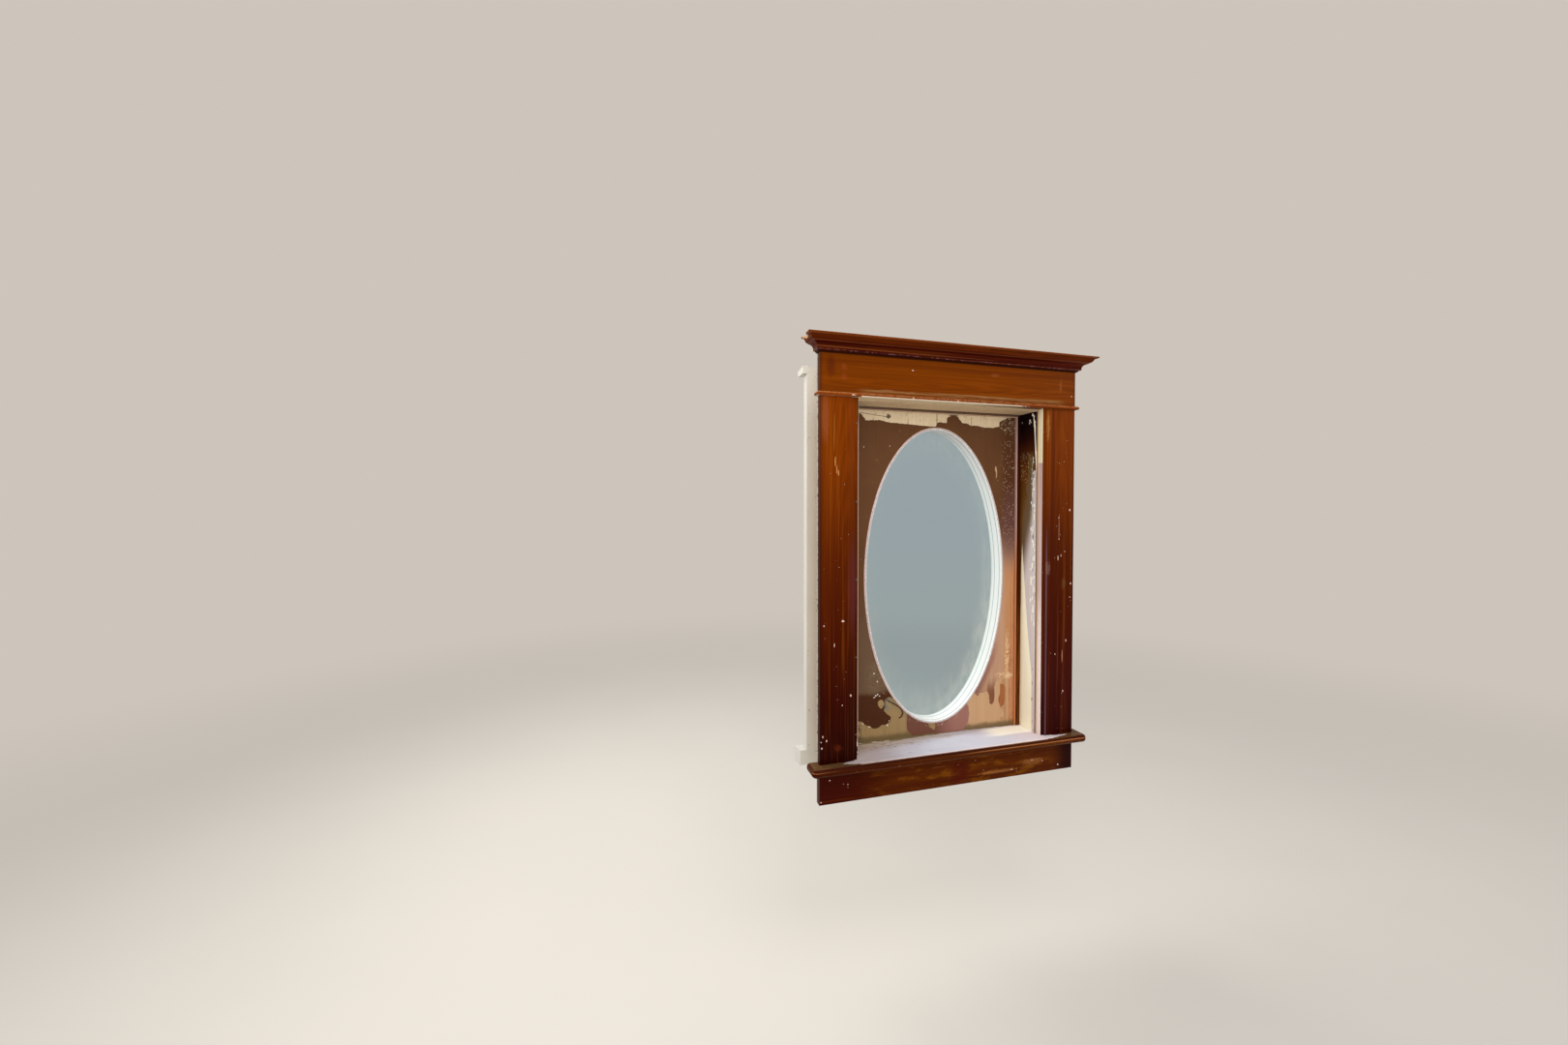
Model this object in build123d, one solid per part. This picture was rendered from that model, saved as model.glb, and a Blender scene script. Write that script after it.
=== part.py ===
from build123d import *
from math import atan2, cos, degrees, radians, sin, tan
import os

# Fixed oval window: an oval light in a rectangular board sash, with its frame and trim.
# Millimetres. X runs along the wall, Y from the room to the outside, Z up.
# The origin is on the wall's room face, halfway along, at the underside of the stool.

# Oval sight opening, and the board left round it up to the stool, head jamb and side jambs
oval_half_width = 232.0
oval_half_height = 446.0
board_below_oval = 41.0
board_above_oval = 59.0
board_beside_oval = 64.0

# From the wall's room face to its outer face
wall_depth = 142.0

# Trim boards on the room side
trim_thickness = 22.0
eased_edge = 2.0
casing_width = 114.0
casing_setback = 5.0
casing_edge_thickness = 17.0
casing_edge_flat = 10.0
casing_hollow_width = 16.0
casing_hollow_sag = 1.6
frieze_height = 105.0
frieze_overhang = 1.0
head_bead_height = 10.0
head_bead_projection = 8.0
head_bead_radius = 4.0
apron_height = 89.0

# Stool, the inner sill board
stool_thickness = 22.0
stool_projection = 54.0
stool_nose_radius = 9.0
horn_length = 29.0
horn_corner_radius = 13.0
stool_sash_gap = 0.5

# Crown moulding, member by member from the top
crown_edge_height = 4.0
crown_lip_depth = 9.0
crown_lip_fall = 1.5
crown_ovolo_depth = 10.0
crown_ovolo_height = 11.0
crown_ovolo_bulge = 2.4
crown_step = 1.5
crown_cove_depth = 13.0
crown_cove_height = 11.0
crown_cove_hollow = 3.0
crown_fillet_height = 6.0
crown_foot_depth = 8.0
crown_foot_height = 5.0
crown_foot_hollow = 1.5
crown_land = 3.5

# The place where the left return's lip has broken away: where it starts from the wall,
# how high it is, and how deep the tear reaches at some distances along it
broken_lip_start = 7.0
broken_lip_height = 7.0
broken_lip_tear = [(0.0, 0.0), (5.0, 7.0), (13.0, 10.0), (24.0, 8.0), (30.0, 3.0), (33.0, 0.0)]

# Frame boards and stops
jamb_thickness = 22.0
jamb_lug = 20.0
head_housing = 8.0
side_stop_width = 14.0
head_stop_height = 8.0
stop_depth = 10.0
stop_round = 3.0

# Sloped sill
sill_thickness = 44.0
sill_slope = 10.0
sill_drop = 18.0
sill_lap = 30.0
sill_projection = 35.0
sill_horn = 20.0
drip_groove_width = 8.0
drip_groove_depth = 6.0
drip_groove_inset = 12.0

# Outer trim
outer_casing_width = 114.0
outer_casing_thickness = 28.0
outer_casing_lap = 12.0
drip_cap_height = 22.0
drip_cap_fall = 7.0
drip_cap_projection = 22.0
drip_cap_overhang = 12.0

# Sash
sash_thickness = 60.0
sash_clearance = 2.0
sash_joint_gap = 0.4
spline_width = 40.0
spline_thickness = 10.0
spline_margin = 8.0

# Bead round the oval
bead_width = 8.0
bead_sunk = 6.0
bead_proud = 3.0
bead_round = 3.5
bead_clearance = 0.3

# Glass and its putty
glass_setback = 48.0
glass_thickness = 3.0
glass_rebate_width = 9.0
glass_edge_clearance = 2.0
putty_clearance = 0.2
putty_sight_edge = 1.0
glazing_point_count = 10
glazing_point_length = 9.0
glazing_point_width = 8.0
glazing_point_thickness = 0.8
glazing_point_bite = 5.0

# Nails
nail_clearance = 0.1
nail_head_height = 2.0
nail_head_extra = 1.2
casing_nail_diameter = 2.6
casing_nail_length = 45.0
casing_nail_count = 5
casing_nail_end_distance = 70.0
nail_set = 0.8
brad_diameter = 1.6
brad_length = 28.0
brad_count = 4
brad_end_distance = 60.0
frame_nail_diameter = 3.2
frame_nail_length = 62.0
frame_nail_count = 3
frame_nail_edge_distance = 25.0

# How far a cut runs past what it cuts, and how near an edge lies to be picked
overrun = 1.0
pick_tolerance = 0.01

# Levels and planes that the pieces share
stool_top = stool_thickness
oval_centre = stool_top + board_below_oval + oval_half_height
head_soffit = oval_centre + oval_half_height + board_above_oval
opening_half_width = oval_half_width + board_beside_oval
sash_face = wall_depth - sash_thickness
stop_face = sash_face - stop_depth
casing_inner = opening_half_width + casing_setback
casing_outer = casing_inner + casing_width
head_bead_bottom = head_soffit + casing_setback
frieze_bottom = head_bead_bottom + head_bead_height
crown_bottom = frieze_bottom + frieze_height
frieze_end = casing_outer + frieze_overhang
jamb_outer = opening_half_width + jamb_thickness
jamb_top = head_soffit + jamb_thickness + jamb_lug
crown_height = (crown_edge_height + crown_lip_fall + crown_ovolo_height + crown_step
                + crown_cove_height + crown_fillet_height + crown_foot_height)
crown_projection = (crown_lip_depth + crown_ovolo_depth + crown_step + crown_cove_depth
                    + crown_foot_depth + crown_land)
crown_top = crown_bottom + crown_height
sill_inner_edge = sash_face - sill_lap
outer_face = wall_depth + outer_casing_thickness
sill_outer_edge = outer_face + sill_projection
outer_casing_inner = opening_half_width - outer_casing_lap
outer_casing_outer = outer_casing_inner + outer_casing_width
outer_head_bottom = head_soffit - outer_casing_lap
outer_head_top = outer_head_bottom + outer_casing_width
sash_half_width = opening_half_width - sash_clearance
sash_top = head_soffit - sash_clearance
glass_face = sash_face + glass_setback
glass_back = glass_face + glass_thickness


def sill_level(y):
    """Height of the sill's sloped top at a distance y into the wall."""
    return stool_top - sill_drop - (y - sash_face) * tan(radians(sill_slope))


def rect(u0, v0, u1, v1):
    return Pos((u0 + u1) / 2, (v0 + v1) / 2) * Rectangle(u1 - u0, v1 - v0)


def outline(*points):
    return make_face(Polyline(*points, close=True))


def along_wall(face, x0, x1):
    """Run a face drawn in Y and Z from x0 to x1."""
    return extrude(Plane.YZ.offset(x0) * face, x1 - x0)


def into_wall(face, y0, y1):
    """Run a face drawn in X and Z from y0 to y1."""
    return extrude(Plane.XZ.offset(-y1) * face, y1 - y0)


def upward(face, z0, z1):
    """Run a face drawn in X and Y from z0 to z1."""
    return extrude(Plane.XY.offset(z0) * face, z1 - z0)


def mirrored(solid):
    return mirror(solid, about=Plane.YZ)


def oval(growth=0.0):
    """The sight oval, drawn in X and Z, with both half axes made longer by the growth."""
    return Pos(0, oval_centre) * Ellipse(oval_half_width + growth, oval_half_height + growth)


def edges_in_plane(solid, y):
    """Edges that lie in the plane at y."""
    ends = [(e, e.bounding_box().min.Y, e.bounding_box().max.Y) for e in solid.edges()]
    return [e for e, low, high in ends if max(abs(low - y), abs(high - y)) < pick_tolerance]


def upright_edges(solid, *places):
    """Edges along Z that stand over the given points of the plan."""
    points = [Vector(*place) for place in places]
    return [e for e in solid.edges().filter_by(Axis.Z)
            if min((Vector(e.center().X, e.center().Y) - p).length for p in points) < pick_tolerance]


def level_edges(solid):
    """Edges that lie level, clear of the wall's face."""
    return [e for e in solid.edges() if e.center().Y < -pick_tolerance
            and e.bounding_box().size.Z < pick_tolerance]


# Nails

def nail(diameter, length, clearance=0.0):
    """A nail that points along +Z, with its head's top at the origin."""
    shank_radius = diameter / 2 + clearance
    head_radius = shank_radius + nail_head_extra / 2
    down = (Align.CENTER, Align.CENTER, Align.MIN)
    shank = Cylinder(shank_radius, length, align=down)
    return shank + Cylinder(head_radius, nail_head_height, align=down)


def nail_hole(diameter, length, depth_to_head):
    """The nail's hole, open above the head by the depth that the nail is set."""
    head_radius = diameter / 2 + nail_clearance + nail_head_extra / 2
    up = (Align.CENTER, Align.CENTER, Align.MAX)
    hole = nail(diameter, length, nail_clearance)
    if depth_to_head > 0:
        hole += Cylinder(head_radius, depth_to_head, align=up)
    return hole


def spread(first, last, count):
    """Evenly spaced places, ends included."""
    step = (last - first) / (count - 1)
    return [first + step * i for i in range(count)]


def casing_nail_places():
    x = opening_half_width + jamb_thickness / 2
    heights = spread(stool_top + casing_nail_end_distance,
                     head_bead_bottom - casing_nail_end_distance, casing_nail_count)
    y = nail_set - casing_edge_thickness
    return [Plane(origin=(side * x, y, z), z_dir=(0, 1, 0)) for side in (-1, 1) for z in heights]


def brad_places():
    """Brads through the stops, from the opening outwards."""
    y = stop_face + stop_depth / 2
    inner = opening_half_width - side_stop_width
    heights = spread(stool_top + brad_end_distance, head_soffit - brad_end_distance, brad_count)
    sides = [Plane(origin=(side * (inner + nail_set), y, z), z_dir=(side, 0, 0))
             for side in (-1, 1) for z in heights]
    half = opening_half_width - brad_end_distance
    head_z = head_soffit - head_stop_height + nail_set
    head = [Plane(origin=(x, y, head_z), z_dir=(0, 0, 1)) for x in spread(-half, half, brad_count)]
    return sides + head


def frame_nail_places():
    """Nails through the side jambs into the ends of the head jamb."""
    z = head_soffit + jamb_thickness / 2
    depths = spread(frame_nail_edge_distance, wall_depth - frame_nail_edge_distance,
                    frame_nail_count)
    return [Plane(origin=(side * jamb_outer, y, z), z_dir=(-side, 0, 0))
            for side in (-1, 1) for y in depths]


def nails(places, diameter, length):
    return Compound(children=[place * nail(diameter, length) for place in places])


def drilled(solid, places, diameter, length, depth_to_head=0.0):
    """The solid with its share of the nail holes."""
    for place in places:
        solid = solid - place * nail_hole(diameter, length, depth_to_head)
    return solid


def drilled_for_casing(solid):
    return drilled(solid, casing_nail_places(), casing_nail_diameter, casing_nail_length, nail_set)


def drilled_for_brads(solid):
    return drilled(solid, brad_places(), brad_diameter, brad_length, nail_set)


def drilled_for_frame(solid):
    return drilled(solid, frame_nail_places(), frame_nail_diameter, frame_nail_length)


# Room side trim

def right_side_casing():
    """Board with a shallow hollow near its inner edge, drawn in plan."""
    edge_y = -casing_edge_thickness
    hollow_start = (casing_inner + casing_edge_flat, edge_y)
    hollow_end = (hollow_start[0] + casing_hollow_width, -trim_thickness)
    plan = make_face([
        Polyline(hollow_end, (casing_outer, -trim_thickness), (casing_outer, 0),
                 (casing_inner, 0), (casing_inner, edge_y), hollow_start),
        SagittaArc(hollow_start, hollow_end, casing_hollow_sag)])
    board = upward(plan, stool_top, head_bead_bottom)
    arrises = upright_edges(board, (casing_inner, edge_y), (casing_outer, -trim_thickness))
    return drilled_for_casing(fillet(arrises, eased_edge))


def left_side_casing():
    return mirrored(right_side_casing())


def frieze_board():
    board = into_wall(rect(-frieze_end, frieze_bottom, frieze_end, crown_top), -trim_thickness, 0)
    arrises = upright_edges(board, (-frieze_end, -trim_thickness), (frieze_end, -trim_thickness))
    return fillet(arrises, eased_edge)


def head_bead():
    """Thin strip with a rounded edge, laid over the casings and under the frieze."""
    half = frieze_end + head_bead_projection
    front = -(trim_thickness + head_bead_projection)
    strip = upward(rect(-half, front, half, 0), head_bead_bottom, frieze_bottom)
    return fillet(level_edges(strip), head_bead_radius)


def apron():
    board = into_wall(rect(-casing_outer, -apron_height, casing_outer, 0), -trim_thickness, 0)
    face_edges = edges_in_plane(board, -trim_thickness)
    return fillet([e for e in face_edges if e.center().Z < -pick_tolerance], eased_edge)


def stool():
    """Board notched between the jambs, with its rounded nose returned round both horns."""
    half = casing_outer + horn_length
    back = sash_face - stool_sash_gap
    plan = outline((-half, 0), (-half, -stool_projection), (half, -stool_projection), (half, 0),
                   (opening_half_width, 0), (opening_half_width, back),
                   (-opening_half_width, back), (-opening_half_width, 0))
    board = upward(plan, 0, stool_thickness)
    horn_corners = upright_edges(board, (-half, -stool_projection), (half, -stool_projection))
    board = fillet(horn_corners, horn_corner_radius)
    return fillet(level_edges(board), stool_nose_radius) - sill()


# Crown

def crown_profile():
    """Drawn with the back at 0, the projection to the right and the top at 0."""
    lip = crown_projection - crown_lip_depth
    below_lip = -(crown_edge_height + crown_lip_fall)
    ovolo_end = (lip - crown_ovolo_depth, below_lip - crown_ovolo_height)
    cove_start = (ovolo_end[0] - crown_step, ovolo_end[1] - crown_step)
    cove_end = (cove_start[0] - crown_cove_depth, cove_start[1] - crown_cove_height)
    foot_start = (cove_end[0], cove_end[1] - crown_fillet_height)
    foot_end = (crown_land, -crown_height)
    return make_face([
        Polyline((0, 0), (crown_projection, 0), (crown_projection, -crown_edge_height),
                 (lip, below_lip)),
        SagittaArc((lip, below_lip), ovolo_end, crown_ovolo_bulge),
        Line(ovolo_end, cove_start),
        SagittaArc(cove_start, cove_end, -crown_cove_hollow),
        Line(cove_end, foot_start),
        SagittaArc(foot_start, foot_end, -crown_foot_hollow),
        Polyline(foot_end, (0, -crown_height), (0, 0))])


def mitre_region(*points):
    """Everything that stands over a plan outline, to cut the mitres."""
    return upward(outline(*points), crown_bottom - overrun, crown_top + overrun)


def crown_front():
    face = -trim_thickness
    tip = frieze_end + crown_projection
    front = face - crown_projection
    start = Plane(origin=(-tip, face, crown_top), x_dir=(0, -1, 0), z_dir=(-1, 0, 0))
    run = extrude(start * crown_profile(), -2 * tip)
    return run & mitre_region((-frieze_end, face), (frieze_end, face), (tip, front), (-tip, front))


def crown_right_return():
    face = -trim_thickness
    tip = frieze_end + crown_projection
    front = face - crown_projection
    start = Plane(origin=(frieze_end, front, crown_top), x_dir=(1, 0, 0), z_dir=(0, -1, 0))
    run = extrude(start * crown_profile(), front)
    return run & mitre_region((frieze_end, 0), (tip, 0), (tip, front), (frieze_end, face))


def crown_left_return():
    """The same moulding, with part of its lip broken away close to the wall."""
    edge = -(frieze_end + crown_projection)
    tear = [(edge + depth, -(broken_lip_start + along)) for along, depth in broken_lip_tear]
    outside = [(edge - overrun, tear[-1][1]), (edge - overrun, tear[0][1])]
    torn_away = upward(outline(*tear, *outside), crown_top - broken_lip_height, crown_top + overrun)
    return mirrored(crown_right_return()) - torn_away


# Frame in the wall

def right_jamb():
    board = upward(rect(opening_half_width, 0, jamb_outer, wall_depth), 0, jamb_top)
    board = board - under_sill_top() - head_jamb_board()
    return drilled_for_frame(drilled_for_brads(drilled_for_casing(board)))


def left_jamb():
    return mirrored(right_jamb())


def head_jamb_board():
    half = opening_half_width + head_housing
    return upward(rect(-half, 0, half, wall_depth), head_soffit, head_soffit + jamb_thickness)


def head_jamb():
    return drilled_for_frame(drilled_for_brads(head_jamb_board()))


def under_sill_top():
    """Everything below the sill's sloped top, to cut the pieces that stand on it."""
    far = sill_outer_edge
    low = sill_level(far) - sill_thickness
    near = -overrun
    wedge = outline((near, sill_level(near)), (far, sill_level(far)), (far, low), (near, low))
    reach = outer_casing_outer + overrun
    return along_wall(wedge, -reach, reach)


def sill():
    """Sloped plank, wider outside the wall than between the framing, with a drip groove."""
    drop = sill_thickness / cos(radians(sill_slope))
    inner, outer = sill_inner_edge, sill_outer_edge
    section = outline((inner, sill_level(inner)), (outer, sill_level(outer)),
                      (outer, sill_level(outer) - drop), (inner, sill_level(inner) - drop))
    half = outer_casing_outer + sill_horn
    plank = along_wall(section, -half, half)
    beside_wall = rect(jamb_outer, inner - overrun, half + overrun, wall_depth)
    low, high = sill_level(outer) - drop - overrun, sill_level(inner) + overrun
    notch = upward(beside_wall, low, high)
    groove_start = outer - drip_groove_inset - drip_groove_width
    groove_top = sill_level(groove_start) - drop + drip_groove_depth
    groove = along_wall(rect(groove_start, low, groove_start + drip_groove_width, groove_top),
                        -half, half)
    return plank - notch - mirrored(notch) - groove


def right_inner_stop():
    """Square strip with one rounded edge, mitred to the head stop."""
    inner = opening_half_width - side_stop_width
    face = outline((inner, stool_top), (opening_half_width, stool_top),
                   (opening_half_width, head_soffit), (inner, head_soffit - head_stop_height))
    stop = into_wall(face, stop_face, sash_face)
    return drilled_for_brads(fillet(upright_edges(stop, (inner, stop_face)), stop_round))


def left_inner_stop():
    return mirrored(right_inner_stop())


def head_inner_stop():
    inner = opening_half_width - side_stop_width
    low = head_soffit - head_stop_height
    face = outline((-opening_half_width, head_soffit), (-inner, low), (inner, low),
                   (opening_half_width, head_soffit))
    stop = into_wall(face, stop_face, sash_face)
    lower_edge = min(edges_in_plane(stop, stop_face), key=lambda e: e.center().Z)
    return drilled_for_brads(fillet(lower_edge, stop_round))


# Outer trim

def right_outer_casing():
    board = upward(rect(outer_casing_inner, wall_depth, outer_casing_outer, outer_face),
                   sill_level(outer_face) - overrun, outer_head_bottom)
    return board - under_sill_top()


def left_outer_casing():
    return mirrored(right_outer_casing())


def head_outer_casing():
    half = outer_casing_outer
    return into_wall(rect(-half, outer_head_bottom, half, outer_head_top), wall_depth, outer_face)


def drip_cap():
    """Strip over the outer head casing, with a top that sheds water."""
    front = outer_face + drip_cap_projection
    top = outer_head_top + drip_cap_height
    section = outline((wall_depth, outer_head_top), (front, outer_head_top),
                      (front, top - drip_cap_fall), (wall_depth, top))
    half = outer_casing_outer + drip_cap_overhang
    return along_wall(section, -half, half)


# Sash

def spline_levels():
    """Lowest and highest points of the bottom and the top loose tongues."""
    bead_edge = oval_half_height + bead_width
    bottom = (sill_level(sash_face) + spline_margin, oval_centre - bead_edge - spline_margin)
    top = (oval_centre + bead_edge + spline_margin, sash_top - spline_margin)
    return bottom, top


def spline(levels):
    middle = sash_face + sash_thickness / 2
    half = spline_width / 2
    plan = rect(-half, middle - spline_thickness / 2, half, middle + spline_thickness / 2)
    return upward(plan, *levels)


def bottom_spline():
    return spline(spline_levels()[0])


def top_spline():
    return spline(spline_levels()[1])


def right_sash_half():
    """Half of the glued up board, cut to the oval, with rebates for the bead and the glass."""
    low = sill_level(wall_depth) - overrun
    half = into_wall(rect(sash_joint_gap / 2, low, sash_half_width, sash_top), sash_face, wall_depth)
    half = half - into_wall(oval(), sash_face, wall_depth)
    half = half - into_wall(oval(bead_width + bead_clearance), sash_face, sash_face + bead_sunk)
    half = half - into_wall(oval(glass_rebate_width), glass_face, wall_depth)
    half = half - under_sill_top() - bottom_spline() - top_spline()
    for point in glazing_point_solids():
        half = half - point
    return half


def left_sash_half():
    return mirrored(right_sash_half())


def bead_ring():
    front = sash_face - bead_proud
    ring = into_wall(oval(bead_width) - oval(), front, sash_face + bead_sunk)
    return fillet(edges_in_plane(ring, front), bead_round)


def right_oval_bead():
    reach = oval_half_width + bead_width + overrun
    low, high = oval_centre - oval_half_height - reach, oval_centre + oval_half_height + reach
    half = into_wall(rect(sash_joint_gap / 2, low, reach, high), stop_face, wall_depth)
    return bead_ring() & half


def left_oval_bead():
    return mirrored(right_oval_bead())


# Glass

def glass_pane():
    return into_wall(oval(glass_rebate_width - glass_edge_clearance), glass_face, glass_back)


def glazing_point_solids():
    """Thin triangles on the glass's outer face, with their points in the wood."""
    rebate_half_width = oval_half_width + glass_rebate_width
    rebate_half_height = oval_half_height + glass_rebate_width
    inside = glazing_point_bite - glazing_point_length
    triangle = outline((glazing_point_bite, 0), (inside, glazing_point_width / 2),
                       (inside, -glazing_point_width / 2))
    solids = []
    for i in range(glazing_point_count):
        angle = radians(360 * (i + 0.5) / glazing_point_count)
        x = rebate_half_width * cos(angle)
        z = rebate_half_height * sin(angle)
        outward = degrees(atan2(z / rebate_half_height ** 2, x / rebate_half_width ** 2))
        face = Pos(x, oval_centre + z) * Rot(0, 0, outward) * triangle
        solids.append(into_wall(face, glass_back, glass_back + glazing_point_thickness))
    return solids


def glazing_points():
    return Compound(children=glazing_point_solids())


def glazing_putty():
    """Putty run round the rebate, bevelled from the sight line to the sash's outer face."""
    ring = into_wall(oval(glass_rebate_width - putty_clearance), glass_back, wall_depth)
    inner = Plane.XZ.offset(-glass_back) * oval(putty_sight_edge)
    outer = Plane.XZ.offset(-wall_depth) * oval(glass_rebate_width - putty_sight_edge)
    putty = ring - loft([inner, outer], ruled=True)
    for point in glazing_point_solids():
        putty = putty - point
    return putty


def casing_nails():
    return nails(casing_nail_places(), casing_nail_diameter, casing_nail_length)


def stop_brads():
    return nails(brad_places(), brad_diameter, brad_length)


def frame_nails():
    return nails(frame_nail_places(), frame_nail_diameter, frame_nail_length)


pieces = [
    crown_front, crown_left_return, crown_right_return, frieze_board, head_bead,
    left_side_casing, right_side_casing, stool, apron,
    left_jamb, right_jamb, head_jamb, sill, left_inner_stop, right_inner_stop, head_inner_stop,
    left_outer_casing, right_outer_casing, head_outer_casing, drip_cap,
    left_sash_half, right_sash_half, top_spline, bottom_spline, left_oval_bead, right_oval_bead,
    glass_pane, glazing_putty, glazing_points, casing_nails, stop_brads, frame_nails]

os.makedirs("parts", exist_ok=True)
for piece in pieces:
    export_step(piece(), "parts/" + piece.__name__ + ".step")
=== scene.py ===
from math import cos, pi, radians, sin

import bmesh
import bpy
import numpy as np
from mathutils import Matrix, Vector


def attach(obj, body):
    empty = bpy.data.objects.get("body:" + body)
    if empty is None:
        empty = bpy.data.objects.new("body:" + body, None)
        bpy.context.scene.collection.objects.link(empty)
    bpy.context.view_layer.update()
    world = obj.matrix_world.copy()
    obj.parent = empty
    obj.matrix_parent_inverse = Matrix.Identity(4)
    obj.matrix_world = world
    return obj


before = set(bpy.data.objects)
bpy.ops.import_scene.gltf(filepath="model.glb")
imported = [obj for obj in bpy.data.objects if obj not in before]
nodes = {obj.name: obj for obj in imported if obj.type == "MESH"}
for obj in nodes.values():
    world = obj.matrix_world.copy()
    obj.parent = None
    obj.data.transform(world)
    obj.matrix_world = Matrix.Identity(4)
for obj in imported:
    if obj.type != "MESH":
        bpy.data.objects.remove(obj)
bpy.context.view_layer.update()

# Camera: a wide lens at standing height, to the left of the window and turned a little to
# the right. Its place was worked out from the corners of the trim, and is in metres.
camera_place = (-0.909, -1.411, 0.709)
camera_yaw = 15.76
camera_pitch = -1.04
lens_length = 12.62

camera = bpy.data.objects.new("camera", bpy.data.cameras.new("camera"))
bpy.context.scene.collection.objects.link(camera)
camera.data.sensor_width = 36
camera.data.lens = lens_length
camera.data.shift_x = 0.0005
camera.data.shift_y = -0.001
camera.data.clip_start = 0.01
camera.location = camera_place
camera.rotation_euler = (radians(90 + camera_pitch), 0, radians(-camera_yaw))
bpy.context.scene.camera = camera
bpy.context.scene.view_settings.view_transform = "Standard"

# Shader values. A Value is one socket, and sums written with it add Math nodes. A Finish is
# one material, which starts as a plain coat and takes layer after layer over its colour. On
# all the pieces lengths are in millimetres, and colours go from 0 to 255.
mm = 0.001


def tint(colour):
    """A colour turned into shader numbers. A Value is left as it is."""
    if isinstance(colour, Value):
        return colour
    shares = [c / 255 for c in colour]
    return [s / 12.92 if s <= 0.04045 else ((s + 0.055) / 1.055) ** 2.4 for s in shares] + [1.0]


class Value:
    """A number or a colour that differs over a surface."""

    def __init__(self, graph, socket):
        self.graph = graph
        self.socket = socket

    def maths(self, operation, *terms):
        return self.graph.node("ShaderNodeMath", dict(enumerate(terms)), operation=operation)

    def __add__(self, other):
        return self.maths("ADD", self, other)

    def __sub__(self, other):
        return self.maths("SUBTRACT", self, other)

    def __rsub__(self, other):
        return self.maths("SUBTRACT", other, self)

    def __mul__(self, other):
        return self.maths("MULTIPLY", self, other)

    def __truediv__(self, other):
        return self.maths("DIVIDE", self, other)

    def __pow__(self, other):
        return self.maths("POWER", self, other)

    def __or__(self, other):
        return self.maths("MAXIMUM", self, other)

    def __abs__(self):
        return self.maths("ABSOLUTE", self)

    __radd__ = __add__
    __rmul__ = __mul__

    def rise(self, low, high):
        """0 up to the low number, 1 from the high one on, and smooth between them."""
        return self.graph.node("ShaderNodeMapRange", {0: self, 1: low, 2: high},
                               interpolation_type="SMOOTHSTEP")

    def fall(self, low, high):
        """1 up to the low number, and 0 from the high one on."""
        return 1 - self.rise(low, high)

    def band(self, low, high, soft):
        """1 between two numbers, and 0 beyond the soft margins round them."""
        return self.rise(low - soft, low) * self.fall(high, high + soft)

    def mix(self, first, second):
        """The first colour where the number is 0, and the second one where it is 1."""
        values = {"Factor": self, 6: tint(first), 7: tint(second)}
        return self.graph.node("ShaderNodeMix", values, output=2, data_type="RGBA")

    def through(self, pairs):
        """A run of shader colours, given as pairs of a number and the colour there."""
        low, high = pairs[0][0], pairs[-1][0]
        share = self.graph.node("ShaderNodeMapRange", {0: self, 1: low, 2: high})
        made = self.graph.node("ShaderNodeValToRGB", {0: share})
        stops = made.socket.node.color_ramp.elements
        while len(stops) < len(pairs):
            stops.new(1.0)
        for stop, (at, colour) in zip(stops, pairs):
            stop.position = (at - low) / (high - low)
            stop.color = colour
        return made

    def ramp(self, tones):
        """A colour that follows a number through pairs of a number and a colour."""
        return self.through([(at, tint(colour)) for at, colour in tones])

    def follow(self, points):
        """A length that follows a number through pairs of a number and a length."""
        most = max(length for at, length in points)
        return self.through([(at, (length / most,) * 3 + (1,)) for at, length in points]) * most


class Graph:
    """The nodes of one material, or of the surround."""

    def __init__(self, tree):
        self.tree = tree

    def node(self, kind, values, output=0, **settings):
        """A node of any kind. Its settings are set first, and then its sockets."""
        made = self.tree.nodes.new(kind)
        for name, setting in settings.items():
            setattr(made, name, setting)
        for socket, value in values.items():
            self.feed(made.inputs[socket], value)
        return Value(self, made.outputs[output])

    def feed(self, socket, value):
        if isinstance(value, Value):
            self.tree.links.new(value.socket, socket)
        else:
            socket.default_value = value

    def ray(self, kind):
        """1 for one kind of ray, and 0 for all others."""
        return self.node("ShaderNodeLightPath", {}, output="Is " + kind + " Ray")

    def seen(self):
        """1 for what the camera, the gloss and the glass see, and 0 for the light on things."""
        return self.ray("Camera") | self.ray("Glossy") | self.ray("Transmission")


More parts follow.
